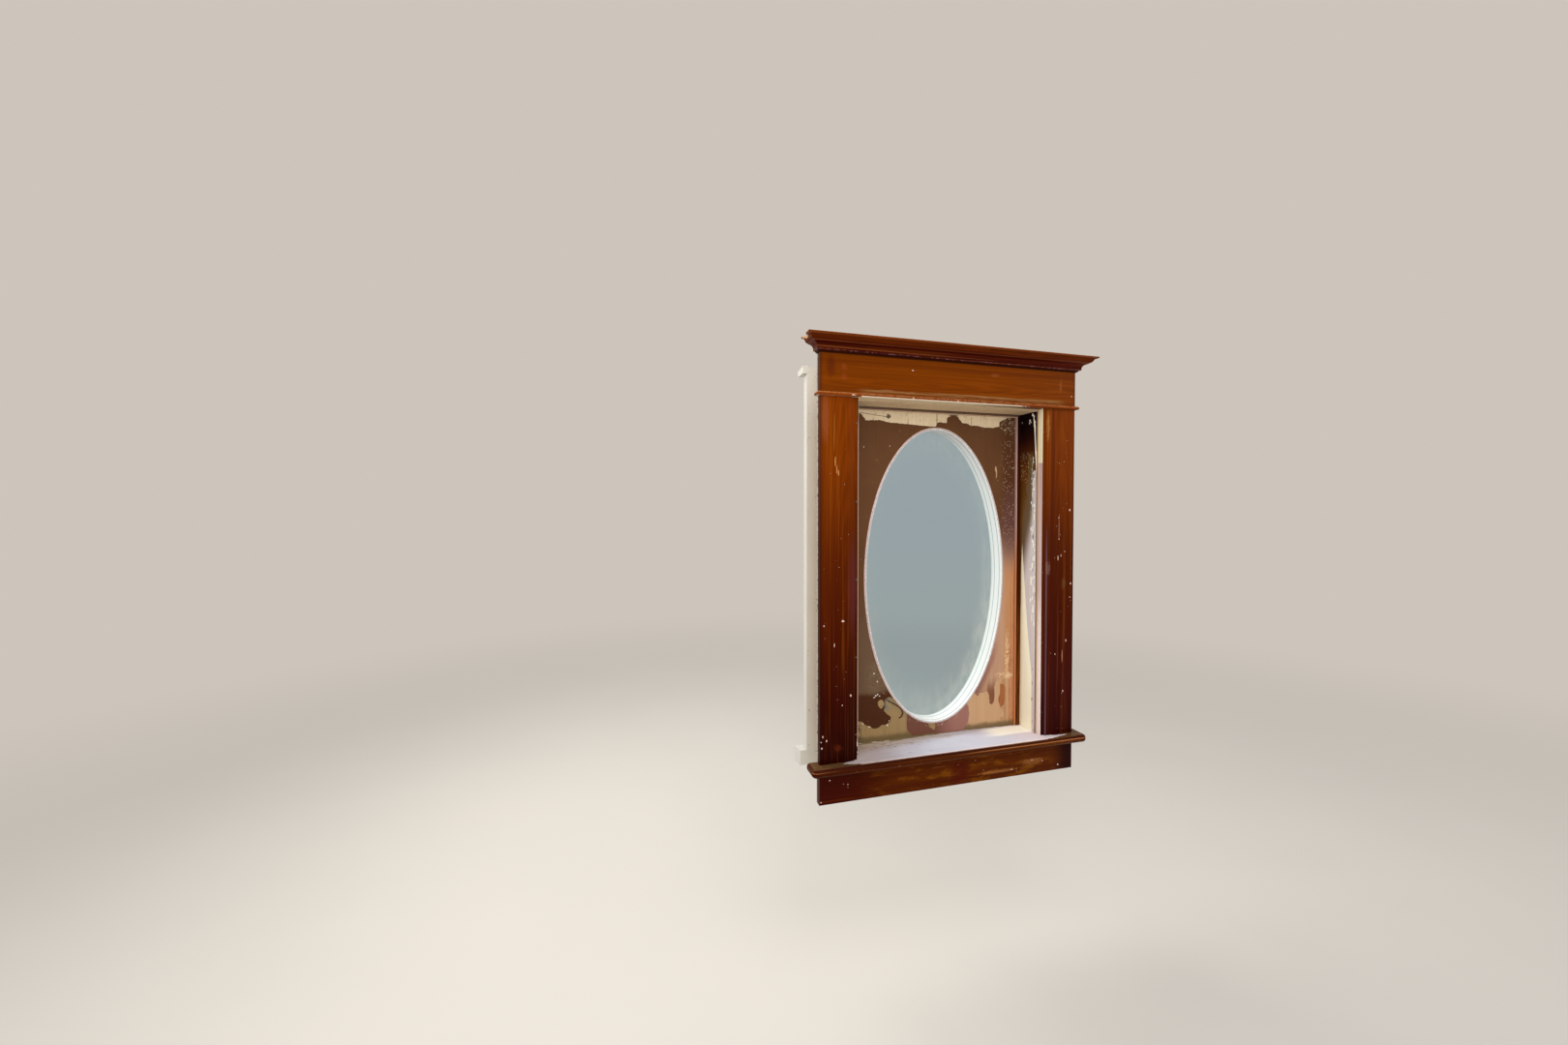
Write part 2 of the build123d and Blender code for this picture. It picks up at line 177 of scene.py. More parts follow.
class Finish(Graph):
    """A material. ragged holds the size, detail, roughness and seed of its main noise, and
    front is how deep the side lies that its spots are on."""

    def __init__(self, name, gloss, ragged, front=-20, **constants):
        self.material = bpy.data.materials.new(name)
        self.material.use_nodes = True
        super().__init__(self.material.node_tree)
        self.shader = self.tree.nodes["Principled BSDF"]
        self.shader.inputs["Specular IOR Level"].default_value = gloss
        for socket, value in constants.items():
            self.shader.inputs[socket.replace("_", " ")].default_value = value
        metres = self.node("ShaderNodeTexCoord", {}, output="Object")
        self.place = self.node("ShaderNodeVectorMath", {0: metres, "Scale": 1 / mm}, operation="SCALE")
        self.x, self.y, self.z = self.parts(self.place)
        self.front = front
        self.colour = None
        self.ragged = self.noise(*ragged)

    def parts(self, vector):
        split = self.node("ShaderNodeSeparateXYZ", {0: vector}).socket.node
        return [Value(self, output) for output in split.outputs]

    def noise(self, size, detail, roughness, seed):
        """Cloudy numbers from 0 to 1. The size is one number, or one for each axis."""
        sizes = size if hasattr(size, "__len__") else (size, size, size)
        values = {0: self.place, 1: [1 / s for s in sizes], 2: (seed, 1.7 * seed, 2.3 * seed)}
        place = self.node("ShaderNodeVectorMath", values, operation="MULTIPLY_ADD")
        values = {"Vector": place, "Scale": 1, "Detail": detail, "Roughness": roughness}
        return self.node("ShaderNodeTexNoise", values)

    def over(self, share, colour):
        """Lays a colour over what is there."""
        self.colour = share.mix(self.colour, colour)

    def shade(self, amount):
        """Makes the colour darker or lighter by a number."""
        values = {0: self.colour, "Scale": amount}
        self.colour = self.node("ShaderNodeVectorMath", values, operation="SCALE")

    def away(self, centre, reach):
        """How far a place lies from a centre, as a share of the reach along each axis."""
        step = self.node("ShaderNodeVectorMath", {0: self.place, 1: centre}, operation="SUBTRACT")
        step = self.node("ShaderNodeVectorMath", {0: step, 1: reach}, operation="DIVIDE")
        return self.node("ShaderNodeVectorMath", {0: step}, output="Value", operation="LENGTH")

    def patch(self, centre, reach, uneven=0.35, soft=0.12):
        """1 in an uneven spot round a centre, with a reach along each axis, and 0 outside."""
        distance = self.away(centre, reach) + uneven * 2 * (self.ragged - 0.5)
        return distance.fall(1 - soft, 1 + soft)

    def spot(self, x, z, half_width, half_height, *edge):
        """A patch on the front, which may be followed by its unevenness and softness."""
        return self.patch((x, self.front, z), (half_width, 100, half_height), *edge)

    def spots(self, *rows):
        """Lays spots: each row is a share, a colour and the numbers of the spot."""
        for share, colour, *numbers in rows:
            self.over(self.spot(*numbers) * share, colour)

    def specks(self, across, along, spacing, size, share, seed):
        """Dots scattered over a flat side: their spacing both ways, their radius as a share of
        the spacing, and the share of places that have one."""
        uneven = 0.9 * (self.ragged - 0.5)
        places = {0: across / spacing[0] + seed + uneven, 1: along / spacing[1] + seed - uneven}
        values = {"Vector": self.node("ShaderNodeCombineXYZ", places), "Scale": 1}
        cells = self.node("ShaderNodeTexVoronoi", values, voronoi_dimensions="2D")
        chance = self.parts(Value(self, cells.socket.node.outputs["Color"]))[0]
        radius = size * (0.4 + chance * (0.6 / share))
        return (radius - cells).rise(0, 0.06) * chance.fall(share, share + 0.001)

    def apply(self, roughness, height, depth):
        """Joins the colour, roughness and relief to the shader."""
        self.feed(self.shader.inputs["Base Color"], self.colour)
        self.feed(self.shader.inputs["Roughness"], roughness)
        bump = self.node("ShaderNodeBump", {"Height": height, "Distance": depth * mm})
        self.feed(self.shader.inputs["Normal"], bump)
        return self.material

    def surface(self, share, other):
        """Shows another shader by a share, instead of this one."""
        values = {0: share, 1: Value(self, self.shader.outputs[0]), 2: other}
        end = self.tree.nodes["Material Output"].inputs["Surface"]
        self.feed(end, self.node("ShaderNodeMixShader", values))


def plain(name, gloss, ragged, tones, roughness, depth):
    """A material of two tones that follow one noise, which is its relief too."""
    finish = Finish(name, gloss, ragged)
    finish.colour = finish.ragged.mix(*tones)
    return finish.apply(roughness, finish.ragged, depth)


def dress(material, *names):
    """Gives CAD nodes their material."""
    for name in names:
        nodes[name].data.materials.clear()
        nodes[name].data.materials.append(material)


# Stage: a pale floor far under the window, which hangs at its usual height, and a pale
# surround that the camera, the gloss and the glass see. The floor has the surround's colour
# further out, so that no edge shows. Places and sizes of the floor and the lamps are in metres.
floor_level = -0.63
floor_reach = 60.0
surround_colour = (205, 197, 187)
world_light = (0.66, 0.66, 0.66, 1)

floor_finish = Finish("pale_floor", 0.1, (600, 3, 0.55, 0))
floor_finish.colour = floor_finish.ragged.mix((203, 198, 190), (209, 203, 195))
floor_finish.feed(floor_finish.shader.inputs["Base Color"], floor_finish.colour)
floor_finish.shader.inputs["Roughness"].default_value = 0.8
further_out = floor_finish.away((0, 0, 0), (1, 1, 1)).rise(1400, 6000)
far_floor = floor_finish.node("ShaderNodeEmission", {"Color": tint(surround_colour)})
floor_finish.surface(further_out * floor_finish.seen(), far_floor)
corners = [(x * floor_reach, y * floor_reach, floor_level) for x, y in ((-1, -1), (1, -1), (1, 1), (-1, 1))]
floor_mesh = bpy.data.meshes.new("floor")
floor_mesh.from_pydata(corners, [], [(0, 1, 2, 3)])
floor_mesh.materials.append(floor_finish.material)
floor = bpy.data.objects.new("floor", floor_mesh)
bpy.context.scene.collection.objects.link(floor)

world = bpy.data.worlds.new("surround")
world.use_nodes = True
bpy.context.scene.world = world
sky = Graph(world.node_tree)
sky_tones = {"Factor": sky.seen(), 6: world_light, 7: tint(surround_colour)}
sky.feed(sky.tree.nodes["Background"].inputs["Color"],
         sky.node("ShaderNodeMix", sky_tones, output=2, data_type="RGBA"))


def lamp(name, place, target, size, power, colour=(1, 1, 1)):
    """A square soft lamp that points at a target."""
    light = bpy.data.lights.new(name, "AREA")
    light.size = size
    light.energy = power
    light.color = colour
    holder = bpy.data.objects.new(name, light)
    holder.location = place
    holder.visible_camera = False
    holder.visible_transmission = False
    holder.rotation_euler = (Vector(target) - Vector(place)).to_track_quat("-Z", "Y").to_euler()
    bpy.context.scene.collection.objects.link(holder)


middle = (0, 0, 0.55)
lamp("main_light", (-1.7, -2.5, 2.1), middle, 1.6, 30, (1, 0.98, 0.95))
lamp("side_light", (3.3, -1.4, 1.5), middle, 1.4, 10)
lamp("top_light", (-0.2, -1.3, 3.0), middle, 1.4, 22)
lamp("low_light", (-0.8, -2.5, 0.75), (0.05, 0.05, 0.95), 1.2, 20)
lamp("outer_light", (-1.0, 1.7, 2.6), (0.1, 0.05, 0.3), 1.0, 25, (1, 0.98, 0.94))
lamp("sun_side", (-2.1, 1.25, 1.75), (0.25, 0.05, 0.3), 1.0, 29, (1, 0.97, 0.9))


# Casings: flat fir boards with a shallow hollow by the opening, nailed to the jambs. The
# stain is orange brown at the top and has darkened to oxblood at the foot.
def stained(name, long_axis, tones, seed, heart):
    """Stained and varnished wood, with its fibres, its streaks and the growth rings of a
    plain sawn board round a heart line. The tones are pairs of height and colour."""
    finish = Finish(name, 0.07, (7, 4, 0.65, seed + 9), Specular_Tint=(1, 0.55, 0.35, 1))
    order = {"x": (0, 2, 1), "z": (2, 0, 1), "y": (1, 2, 0)}[long_axis]
    long_way, across, deep = [(finish.x, finish.y, finish.z)[axis] for axis in order]
    fine = [0.9] * 3
    fine[order[0]] = 60
    finish.fibres = finish.noise(fine, 3, 0.6, seed)
    finish.streaks = finish.noise([8 * s for s in fine], 3, 0.55, seed + 5)
    finish.broad = finish.noise([28 * s for s in fine], 2, 0.5, seed + 7)
    finish.gloss = finish.noise(70, 3, 0.6, seed + 3)
    side = across - heart[0] + 60 * (finish.noise(600, 1, 0.55, seed) - 0.5)
    below = deep + heart[1] + 0.05 * long_way
    ring_spacing = 6
    rings = (side * side + below * below) ** 0.5 * (2 * pi / ring_spacing)
    finish.rings = rings.maths("SINE", rings)
    finish.colour = (finish.z + 50 * (finish.broad - 0.5)).ramp(tones)
    finish.shade(0.14 + 0.5 * finish.fibres + 0.72 * finish.streaks + 0.5 * finish.broad
                 + 0.09 * finish.rings)
    finish.over(finish.streaks.rise(0.54, 0.68) * 0.25, (132, 68, 10))
    finish.over(finish.broad.fall(0.32, 0.46) * 0.3, (70, 12, 4))
    return finish


# A dark tone used for dirt in joints and edges, and for painted shade under overhanging parts.
dirt_and_shade_tone = (22, 8, 5)


def bare_back(finish):
    """Leaves the hidden back as bare wood."""
    finish.over(finish.y.rise(-0.8, -0.3), finish.streaks.mix((168, 128, 84), (206, 170, 122)))


def outer_edge(finish, edge):
    """Darkens an outer edge, and smears old pale paint along the back of it."""
    finish.over(edge * 0.7, (34, 9, 4))
    smeared = (finish.y + 9 * (finish.ragged - 0.5)).rise(-5, -4)
    finish.over(edge * smeared * finish.ragged.rise(0.36, 0.46), (206, 190, 174))


def varnish(finish, *names):
    """Ends a varnished finish with an uneven sheen, and gives it to its boards."""
    relief = finish.fibres * 0.6 + finish.rings * 0.2
    dress(finish.apply(0.26 + 0.22 * finish.gloss, relief, 0.05), *names)


casing_tones = {
    -1: [(20, (28, 0, 0)), (200, (47, 5, 0)), (420, (68, 18, 0)), (600, (80, 27, 0)),
         (850, (110, 45, 0)), (1020, (113, 47, 0))],
    1: [(20, (40, 0, 0)), (200, (54, 8, 6)), (420, (62, 14, 0)), (600, (71, 22, 0)),
        (850, (100, 40, 0)), (1020, (107, 45, 0))]}
casing_inner = 301
casing_outer = 415
trim_thickness = 22


def casing_finish(name, side, heart, seed):
    """One side casing, with its inner edge in old pale paint and its outer edge in stain."""
    finish = stained(name, "z", casing_tones[side], seed, heart)
    out = side * finish.x
    finish.over(out.band(310.4, 311.6, 1) * 0.55, dirt_and_shade_tone)
    finish.over(out.rise(casing_outer - 12, casing_outer - 1) * 0.4, (46, 9, 3))
    outer_edge(finish, out.rise(casing_outer - 1.4, casing_outer - 0.5))
    lilac = finish.streaks.mix((168, 136, 132), (228, 200, 194))
    edge_tone = finish.z.rise(300, 500).mix((234, 214, 208), lilac)
    edge_tone = finish.z.rise(854, 857).mix(edge_tone, (240, 230, 196))
    inner_edge = out.fall(casing_inner + 0.7, casing_inner + 1.2)
    finish.over(inner_edge * finish.ragged.rise(0.24, 0.3), edge_tone)
    bare_back(finish)
    return finish


left_casing = casing_finish("stain_left_casing", -1, (-330, 35), 11)
arris = casing_inner + 2.6
out = left_casing.x * -1
in_height = left_casing.z.band(90, 930, 40)
left_casing.over(out.band(arris, arris + 2.5, 1) * 0.75, dirt_and_shade_tone)
# A pale line along the inner arris, breaking into flecks at the foot: partly worn pale paint and partly a
# painted highlight on the rounded arris.
left_casing.over(out.fall(arris - 0.8, arris) * in_height * 0.9, (206, 168, 150))
foot_flecks = left_casing.ragged.rise(0.5, 0.54) * left_casing.z.fall(90, 100)
left_casing.over(out.fall(arris, arris + 1) * foot_flecks, (216, 196, 184))
left_casing.spots((0.4, (136, 84, 26), -374, 920, 3, 52),
                  (0.4, (142, 78, 44), -400, 960, 10, 60, 0.5, 0.5))
for numbers in ((-371, 842, 2, 14), (-366.5, 822, 1.8, 12), (-362, 812, 2, 8)):
    wear_and_sheen = left_casing.spot(*numbers, 0.5) * left_casing.fibres.rise(0.38, 0.5)
    left_casing.over(wear_and_sheen * 0.7, (184, 130, 76))
# The second spot, a purplish band by the hollow, is partly the stain's own red and partly a painted
# reflection of window light.
left_casing.spots((0.35, (104, 38, 14), -362, 63, 10, 9, 1.2, 0.6),
                  (0.4, (92, 42, 44), -320, 500, 12, 120, 0.5, 0.5))
varnish(left_casing, "left_side_casing")

right_casing = casing_finish("stain_right_casing", 1, (362, 30), 23)
# Along the hollow: a lilac band low down that is a painted reflection of window light, and two pale patches
# that are partly worn varnish and partly painted sheen.
hollow_reflection = right_casing.x.band(316.5, 320.5, 1.5)
right_casing.over(hollow_reflection * right_casing.z.fall(550, 700) * 0.55, (104, 74, 82))
wear_and_sheen = right_casing.spot(320, 965, 4, 42, 0.9, 0.4) * right_casing.fibres.rise(0.36, 0.52)
right_casing.over(wear_and_sheen * 0.65, (156, 112, 56))
wear_and_sheen = right_casing.spot(322, 535, 6, 18, 0.9, 0.5) * right_casing.fibres.rise(0.4, 0.52)
right_casing.over(wear_and_sheen * 0.45, (140, 112, 96))
right_casing.spots((0.8, (170, 122, 86), 375.5, 262, 1.6, 19, 0.4),
                   (0.6, (160, 104, 84), 360, 655, 1.6, 36, 0.9),
                   (0.5, (96, 66, 32), 379, 486, 7, 16, 0.6, 0.4))
varnish(right_casing, "right_side_casing")

# Frieze: one flat board with the same stain, laid across the casings. It has two marks of a
# knot at the left, and the varnish is worn through along its lower edge.
frieze = stained("stain_frieze", "x", [(1020, (106, 46, 0)), (1180, (110, 49, 0))], 31, (1060, 30))
outer_edge(frieze, abs(frieze.x).rise(414.6, 415.4))
low_band = (frieze.z + 4 * (frieze.ragged - 0.5)).band(1031, 1043, 2) * frieze.x.band(-270, 340, 50)
frieze.over(low_band * frieze.streaks.rise(0.42, 0.6) * 0.6, (142, 104, 58))
frieze.over(low_band * frieze.fibres.rise(0.56, 0.68) * 0.5, (182, 140, 104))
frieze.spots((0.5, (70, 18, 8), -384, 1098, 12, 26, 0.5, 0.6),
             (0.3, (146, 62, 30), -346, 1098, 7, 8, 1.1, 0.6),
             (0.3, (146, 62, 30), -346, 1070, 7, 8, 1.1, 0.6),
             (0.22, (160, 100, 54), 128, 1106, 13, 4, 0.9, 0.7),
             (0.3, (150, 92, 54), 362, 1088, 4, 18, 0.9, 0.7))
frieze.over(frieze.z.fall(1029, 1030.5) * 0.8, dirt_and_shade_tone)
# Darker just under the crown: painted shade below its overhang.
frieze.over(frieze.z.rise(1129.5, 1134.5) * 0.6, dirt_and_shade_tone)
bare_back(frieze)
frieze.over(abs(frieze.x).rise(404, 414.5) * 0.4, (46, 9, 3))
varnish(frieze, "frieze_board")

# Crown: a solid moulding along the top with two mitred returns, planted on the frieze. Its
# tones darken down the profile into the cove, and its foot is darker still: painted shade under
# its overhangs. Pale lines on its arrises are partly rubbed varnish and partly painted
# highlight, and the left return's lip has broken off at the back.
# Tones by height over the stain: darker lower down and darkest in the cove, which is painted shade.
crown_tones_and_shade = [(1132, (60, 10, 3)), (1139, (64, 11, 3)), (1146, (56, 7, 2)), (1154, (76, 18, 3)),
               (1159, (78, 24, 2)), (1167, (92, 34, 0)), (1176, (98, 38, 0))]


def crown_finish(name, long_axis, seed, heart):
    finish = stained(name, long_axis, crown_tones_and_shade, seed, heart)
    # Pale lines on the arrises: partly rubbed varnish, partly painted highlight.
    for height in (1169.2, 1157.0, 1145.2, 1138.8):
        wear_and_highlight = finish.z.band(height, height + 0.6, 0.5) * finish.streaks.rise(0.36, 0.56)
        finish.over(wear_and_highlight * 0.4, (166, 98, 56))
    # A dark band at the foot: painted shade under the fillet.
    finish.over(finish.z.band(1134, 1136.8, 0.5) * 0.7, dirt_and_shade_tone)
    # Broken pinkish glints on the lower fillet's arris: painted highlight.
    flecks_and_glints = finish.z.band(1138.4, 1139.4, 0.5) * finish.ragged.rise(0.48, 0.62)
    finish.over(flecks_and_glints * 0.55, (166, 122, 128))
    # A paler top arris: partly rubbed varnish, partly painted highlight.
    rim = finish.y.fall(-66, -64.5) | abs(finish.x).rise(458.5, 460)
    top_arris_wear_and_highlight = rim * finish.z.rise(1172.8, 1173.6) * finish.ragged.rise(0.42, 0.54)
    finish.over(top_arris_wear_and_highlight * 0.45, (170, 112, 66))
    dusty = (1 - rim) * finish.z.rise(1173.6, 1173.9)
    finish.over(dusty * (0.2 + 0.3 * finish.gloss), (146, 122, 100))
    bare_back(finish)
    return finish


varnish(crown_finish("stain_crown", "x", 41, (1150, 90)), "crown_front")
varnish(crown_finish("stain_crown_right", "y", 43, (1150, -380)), "crown_right_return")
left_return = crown_finish("stain_crown_left", "y", 47, (1150, 380))
torn = left_return.patch((-458, -24, 1171), (9, 18, 7), 0.3)
left_return.over(torn * 0.85, left_return.fibres.mix((176, 134, 90), (214, 184, 142)))
varnish(left_return, "crown_left_return")

# Head bead: a thin rounded strip under the frieze. A pale line along its upper edge is partly
# rubbed varnish and partly painted highlight, and the pale paint of the opening was carried
# round onto its lower edge.
bead_front = -29.6
head_bead = stained("stain_head_bead", "x", [(1015, (100, 40, 8)), (1030, (122, 56, 14))], 53, (1024, 60))
in_opening = head_bead.x.rise(-302, -296) * head_bead.x.fall(160, 320)
covered = (in_opening + 1.1 * (head_bead.ragged - 0.5)).rise(0.6, 0.7)
lower_edge = (head_bead.z + 1.6 * (head_bead.ragged - 0.5)).fall(1020.8, 1021.4)
head_bead.over(lower_edge * covered, (238, 222, 196))
underside = head_bead.z.fall(1019.3, 1019.6) * head_bead.y.rise(-26, -24)
head_bead.over(underside * 0.85, head_bead.x.rise(0, 250).mix((222, 204, 170), (104, 66, 36)))
# Pale line along the upper edge: partly rubbed varnish, partly painted highlight.
wear_and_highlight = head_bead.z.band(1025.5, 1027.5, 0.8) * head_bead.ragged.rise(0.4, 0.55)
head_bead.over(wear_and_highlight * 0.55, (178, 124, 74))
varnish(head_bead, "head_bead")

# Apron: the board under the stool, nailed on. It is oxblood at its left end and brown in the
# middle, with a few long scuffs.
apron = stained("stain_apron", "x", [(-90, (54, 6, 0)), (0, (58, 12, 0))], 61, (-50, 50))
apron.over(apron.x.band(-160, 330, 160) * apron.broad.rise(0.34, 0.6) * 0.65, (86, 36, 0))
golden = apron.noise((70, 30, 22), 4, 0.6, 67).rise(0.48, 0.66) * apron.x.band(-200, 300, 100)
apron.over(golden * 0.5, apron.streaks.mix((96, 50, 0), (146, 86, 10)))
apron.spots((0.6, (66, 3, 2), 20, -45, 26, 60, 0.3, 0.6))
apron.over(apron.x.rise(335, 395) * 0.9, (28, 0, 2))
apron.over(apron.x.fall(-420, -260) * 0.6, (50, 4, 3))
for numbers in ((150, -66, 60, 6), (270, -52, 34, 10), (-50, -30, 20, 5)):
    scuffed = apron.spot(*numbers, 0.9, 0.4) * apron.streaks.rise(0.46, 0.6)
    apron.over(scuffed * 0.5, (156, 100, 52))
# Darker in a band just under the stool: painted shade below its nose.
apron.over(apron.z.rise(-5, -1) * 0.4, dirt_and_shade_tone)
bare_back(apron)
varnish(apron, "apron")

# Stool: the inner sill board with its rounded nose. The nose and horns keep their varnish,
# rubbed along two lines, and the pale one of these is partly a painted highlight. Its flat top
# is under a pale film of paint, a piece further on.
stool_top = 22
stool_tones = [(-2, (48, 8, 2)), (10, (60, 18, 2)), (24, (68, 30, 7))]
stool = stained("stain_stool", "x", stool_tones, 71, (0, 60))
stool.over(stool.x.band(-140, 330, 120) * stool.broad.rise(0.4, 0.6) * 0.6, (98, 50, 4))
stool.over(stool.ragged.rise(0.56, 0.66) * stool.streaks.rise(0.46, 0.56) * 0.5, (122, 82, 30))
nose = stool.y.fall(-44, -42)
# A pale line along the nose: partly rubbed varnish, partly painted highlight.
wear_and_highlight = (stool.z + 3 * (stool.streaks - 0.5)).band(14.2, 15.6, 0.8) * nose
stool.over(wear_and_highlight * (stool.streaks + 0.3 * stool.broad).rise(0.52, 0.62) * 0.65, (176, 112, 68))
stool.over(stool.z.band(17.4, 20.6, 0.8) * nose * 0.8, (44, 8, 8))
old_top = stool.z.rise(21.5, 21.9)
stool.over(old_top * (0.3 + stool.ragged.rise(0.45, 0.6) * 0.4), (104, 84, 54))
between = old_top * stool.x.band(-302, 302, 6)
stool.over(between, stool.streaks.mix((146, 116, 92), (190, 168, 150)))
# Darker and olive at the back by the sash: partly dirt and partly painted shade.
stool.over(between * stool.y.rise(62, 76) * 0.8, stool.ragged.mix((78, 66, 38), (132, 116, 78)))
varnish(stool, "stool")

# Jambs: the boards that line the opening. Their brown paint came away from a pale undercoat,
# and what is left of it is a film that lies on them, a piece of its own further on.
jamb_face = 296
stop_face = 72
sun_line = [(0, 12), (62, 14), (192, 15), (368, 38), (626, 64), (660, 72), (1100, 72)]


def lining(name, seed):
    """A jamb under its paint: cream up to the edge of a sunlit patch, partly pale paint and partly painted
    sunlight, and grey toward the front.
    """
    finish = Finish("lining_" + name, 0.3, (7, 4, 0.65, seed))
    y, z, ragged = finish.y, finish.z, finish.ragged
    streaks = finish.noise((3, 3, 120), 3, 0.6, seed + 1)
    finish.colour = streaks.mix((186, 170, 170), (224, 210, 206))
    tan = y.rise(12, 25) * (z + 4 * (y - 40)).rise(500, 680)
    finish.over(tan * 0.95, streaks.mix((66, 42, 14), (124, 92, 50)))
    # Cream beyond the sun line: partly pale paint, partly painted sunlight.
    cream = (y - z.follow(sun_line) + 3 * (streaks - 0.5)).rise(0, 2)
    finish.over(cream, streaks.mix((252, 240, 206), (255, 250, 230)))
    warm = y.rise(54, 70) * z.fall(400, 700)
    finish.over(warm * 0.6, streaks.mix((206, 150, 88), (236, 190, 130)))
    flaked = y.band(9, 24, 5) * z.rise(340, 420)
    finish.over(flaked * finish.specks(y, z, (7, 16), 0.42, 0.4, seed), (246, 242, 238))
    chips = y.band(5, 20, 3) * finish.specks(y, z, (12, 30), 0.3, 0.25, seed + 4)
    finish.over(chips * 0.8, (112, 92, 76))
    finish.over((y + 1.2 * (ragged - 0.5)).fall(1.6, 2.6) * 0.92, (42, 20, 18))
    corner = y.band(69, stop_face, 2) * ragged.rise(0.3, 0.5)
    finish.over(corner * 0.5, (120, 84, 44))
    hidden = y.rise(82, 84) | abs(finish.x).rise(jamb_face + 1, jamb_face + 2)
    finish.over(hidden * 0.9, (186, 150, 104))
    dress(finish.apply(0.55, ragged, 0.1), name)


lining("right_jamb", 81)
lining("left_jamb", 87)

# Head jamb and stops: the soffit and the thin strips that hold the sash. Their inner sides
# were rubbed to a pale pinkish tan, and dirt has gathered in the joints between them. On the
# side stops that tan goes from peach low down to lilac higher up, which is partly painted
# window light, and their faces are darker by the inner arris, which is painted shade.
soffit = Finish("old_paint_head", 0.3, (7, 4, 0.65, 89))
soffit.colour = soffit.noise((160, 4, 4), 3, 0.6, 7).mix((190, 156, 116), (236, 210, 172))
soffit.over(soffit.ragged.rise(0.54, 0.66) * 0.35, (128, 92, 54))
soffit_joints = 0.3 * soffit.y.fall(1.5, 3) | soffit.y.rise(69, 71.5)
soffit.over(soffit_joints * 0.85, (36, 20, 10))
dress(soffit.apply(0.6, soffit.ragged, 0.1), "head_jamb")

stop_arris = 283.2
stops = Finish("old_paint_stops", 0.03, (7, 4, 0.65, 5))
streaks = stops.noise((2, 2, 90), 3, 0.6, 6)
stops.colour = streaks.mix((36, 12, 0), (72, 26, 0))
stops.over(stops.z.rise(840, 950) * 0.85, (14, 4, 4))
stops.over(stops.z.fall(250, 500) * streaks.rise(0.42, 0.62) * 0.55, (146, 82, 28))
# A dark strip on the stop faces by the inner arris: painted shade.
stops.over(abs(stops.x).fall(285.5, 287.5) * 0.8, (26, 8, 4))
inner_side = abs(stops.x).fall(stop_arris, stop_arris + 0.5)
lilac = streaks.mix((158, 120, 116), (204, 172, 166))
peach = streaks.mix((176, 100, 56), (216, 144, 98))
# Inner sides peach low down and lilac higher up: partly rubbed paint, partly painted window light.
stops.over(inner_side, stops.z.rise(500, 720).mix(peach, lilac))
stops.over(inner_side * stops.y.rise(79.6, 81) * 0.7, (90, 40, 24))
dress(stops.apply(0.6, stops.ragged, 0.08), "left_inner_stop", "right_inner_stop")

head_stop = Finish("old_paint_head_stop", 0.3, (7, 4, 0.65, 15))
head_stop.colour = head_stop.noise((160, 2, 2), 3, 0.6, 16).mix((176, 138, 104), (216, 180, 152))
head_stop.over(head_stop.ragged.rise(0.58, 0.62) * 0.7, (96, 58, 34))
head_stop.over(head_stop.z.rise(1006.8, 1007.4) * 0.85, (46, 24, 12))
head_stop.over(head_stop.y.rise(80, 81) * 0.8, (40, 22, 12))
dress(head_stop.apply(0.5, head_stop.ragged, 0.08), "head_inner_stop")

# Sash: two glued boards, cut to the oval. The face is bare fir where the brown paint came
# away, cream in a strip under the head, and white on the oval's cut edge and the outer side.
oval_centre = 509
oval_half_width = 232
oval_half_height = 446
sash_face = 82
outer_face = 142
sash_front = 80


def around_oval(finish, growth):
    """How far a place lies from the oval's centre, as a share of the oval grown by a length."""
    return finish.away((0, 0, oval_centre), (oval_half_width + growth, 1e9, oval_half_height + growth))


old_white = (238, 237, 234)
sash = Finish("sash_wood", 0.25, (7, 4, 0.65, 91), sash_front)
x, z, ragged = sash.x, sash.z, sash.ragged
fibres = sash.noise((1.2, 1.2, 60), 3, 0.6, 92)
streaks = sash.noise((9, 9, 300), 3, 0.6, 95)
stains = sash.noise(22, 4, 0.7, 94)
grain = fibres * 0.5 + streaks * 0.5
sash.colour = grain.mix((120, 94, 54), (162, 134, 92))
sash.over(x.rise(90, 120), grain.mix((164, 124, 86), (204, 166, 126)))
orange = (x + 10 * (streaks - 0.5)).rise(258, 268)
sash.over(orange * 0.65, grain.mix((150, 84, 46), (206, 140, 94)))
mottled = x.band(236, 290, 8) * z.band(50, 500, 40) * (stains * 0.5 + streaks * 0.5).rise(0.48, 0.58)
sash.over(mottled * 0.55, (146, 92, 54))
sash.spots((0.6, (222, 192, 154), 262, 182, 16, 9, 0.9, 0.4))
sash.over((z + 16 * (stains - 0.5)).fall(30, 44) * 0.75, (88, 72, 42))
sash.over(stains.rise(0.56, 0.7) * x.fall(60, 100) * 0.5, (110, 92, 52))
grey_grime = sash.spot(-158, 128, 17, 22, 0.7, 0.3) * stains.rise(0.36, 0.5)
sash.over(grey_grime * 0.8, (98, 102, 92))
left_foot = x.fall(-262, -240) * z.fall(70, 90) * ragged.rise(0.4, 0.5)
sash.over(left_foot * 0.85, (30, 24, 18))
near_bead = around_oval(sash, 30).fall(0.96, 1) * x.fall(-100, -60)
sash.over(near_bead * 0.45, (116, 104, 76))
strip = z.rise(900, 930)
sash.over(strip, streaks.mix((204, 182, 148), (230, 212, 178)))
sash.over(strip * ragged.rise(0.6, 0.66) * 0.6, (150, 124, 90))
crack_height = 997 - 0.1 * (x + 250)
crack = (z - crack_height).band(-0.6, 0.6, 0.5) * x.fall(-170, -150)
sash.over(crack * 0.85, (52, 34, 20))
wandering = x + 3 * (ragged - 0.5)
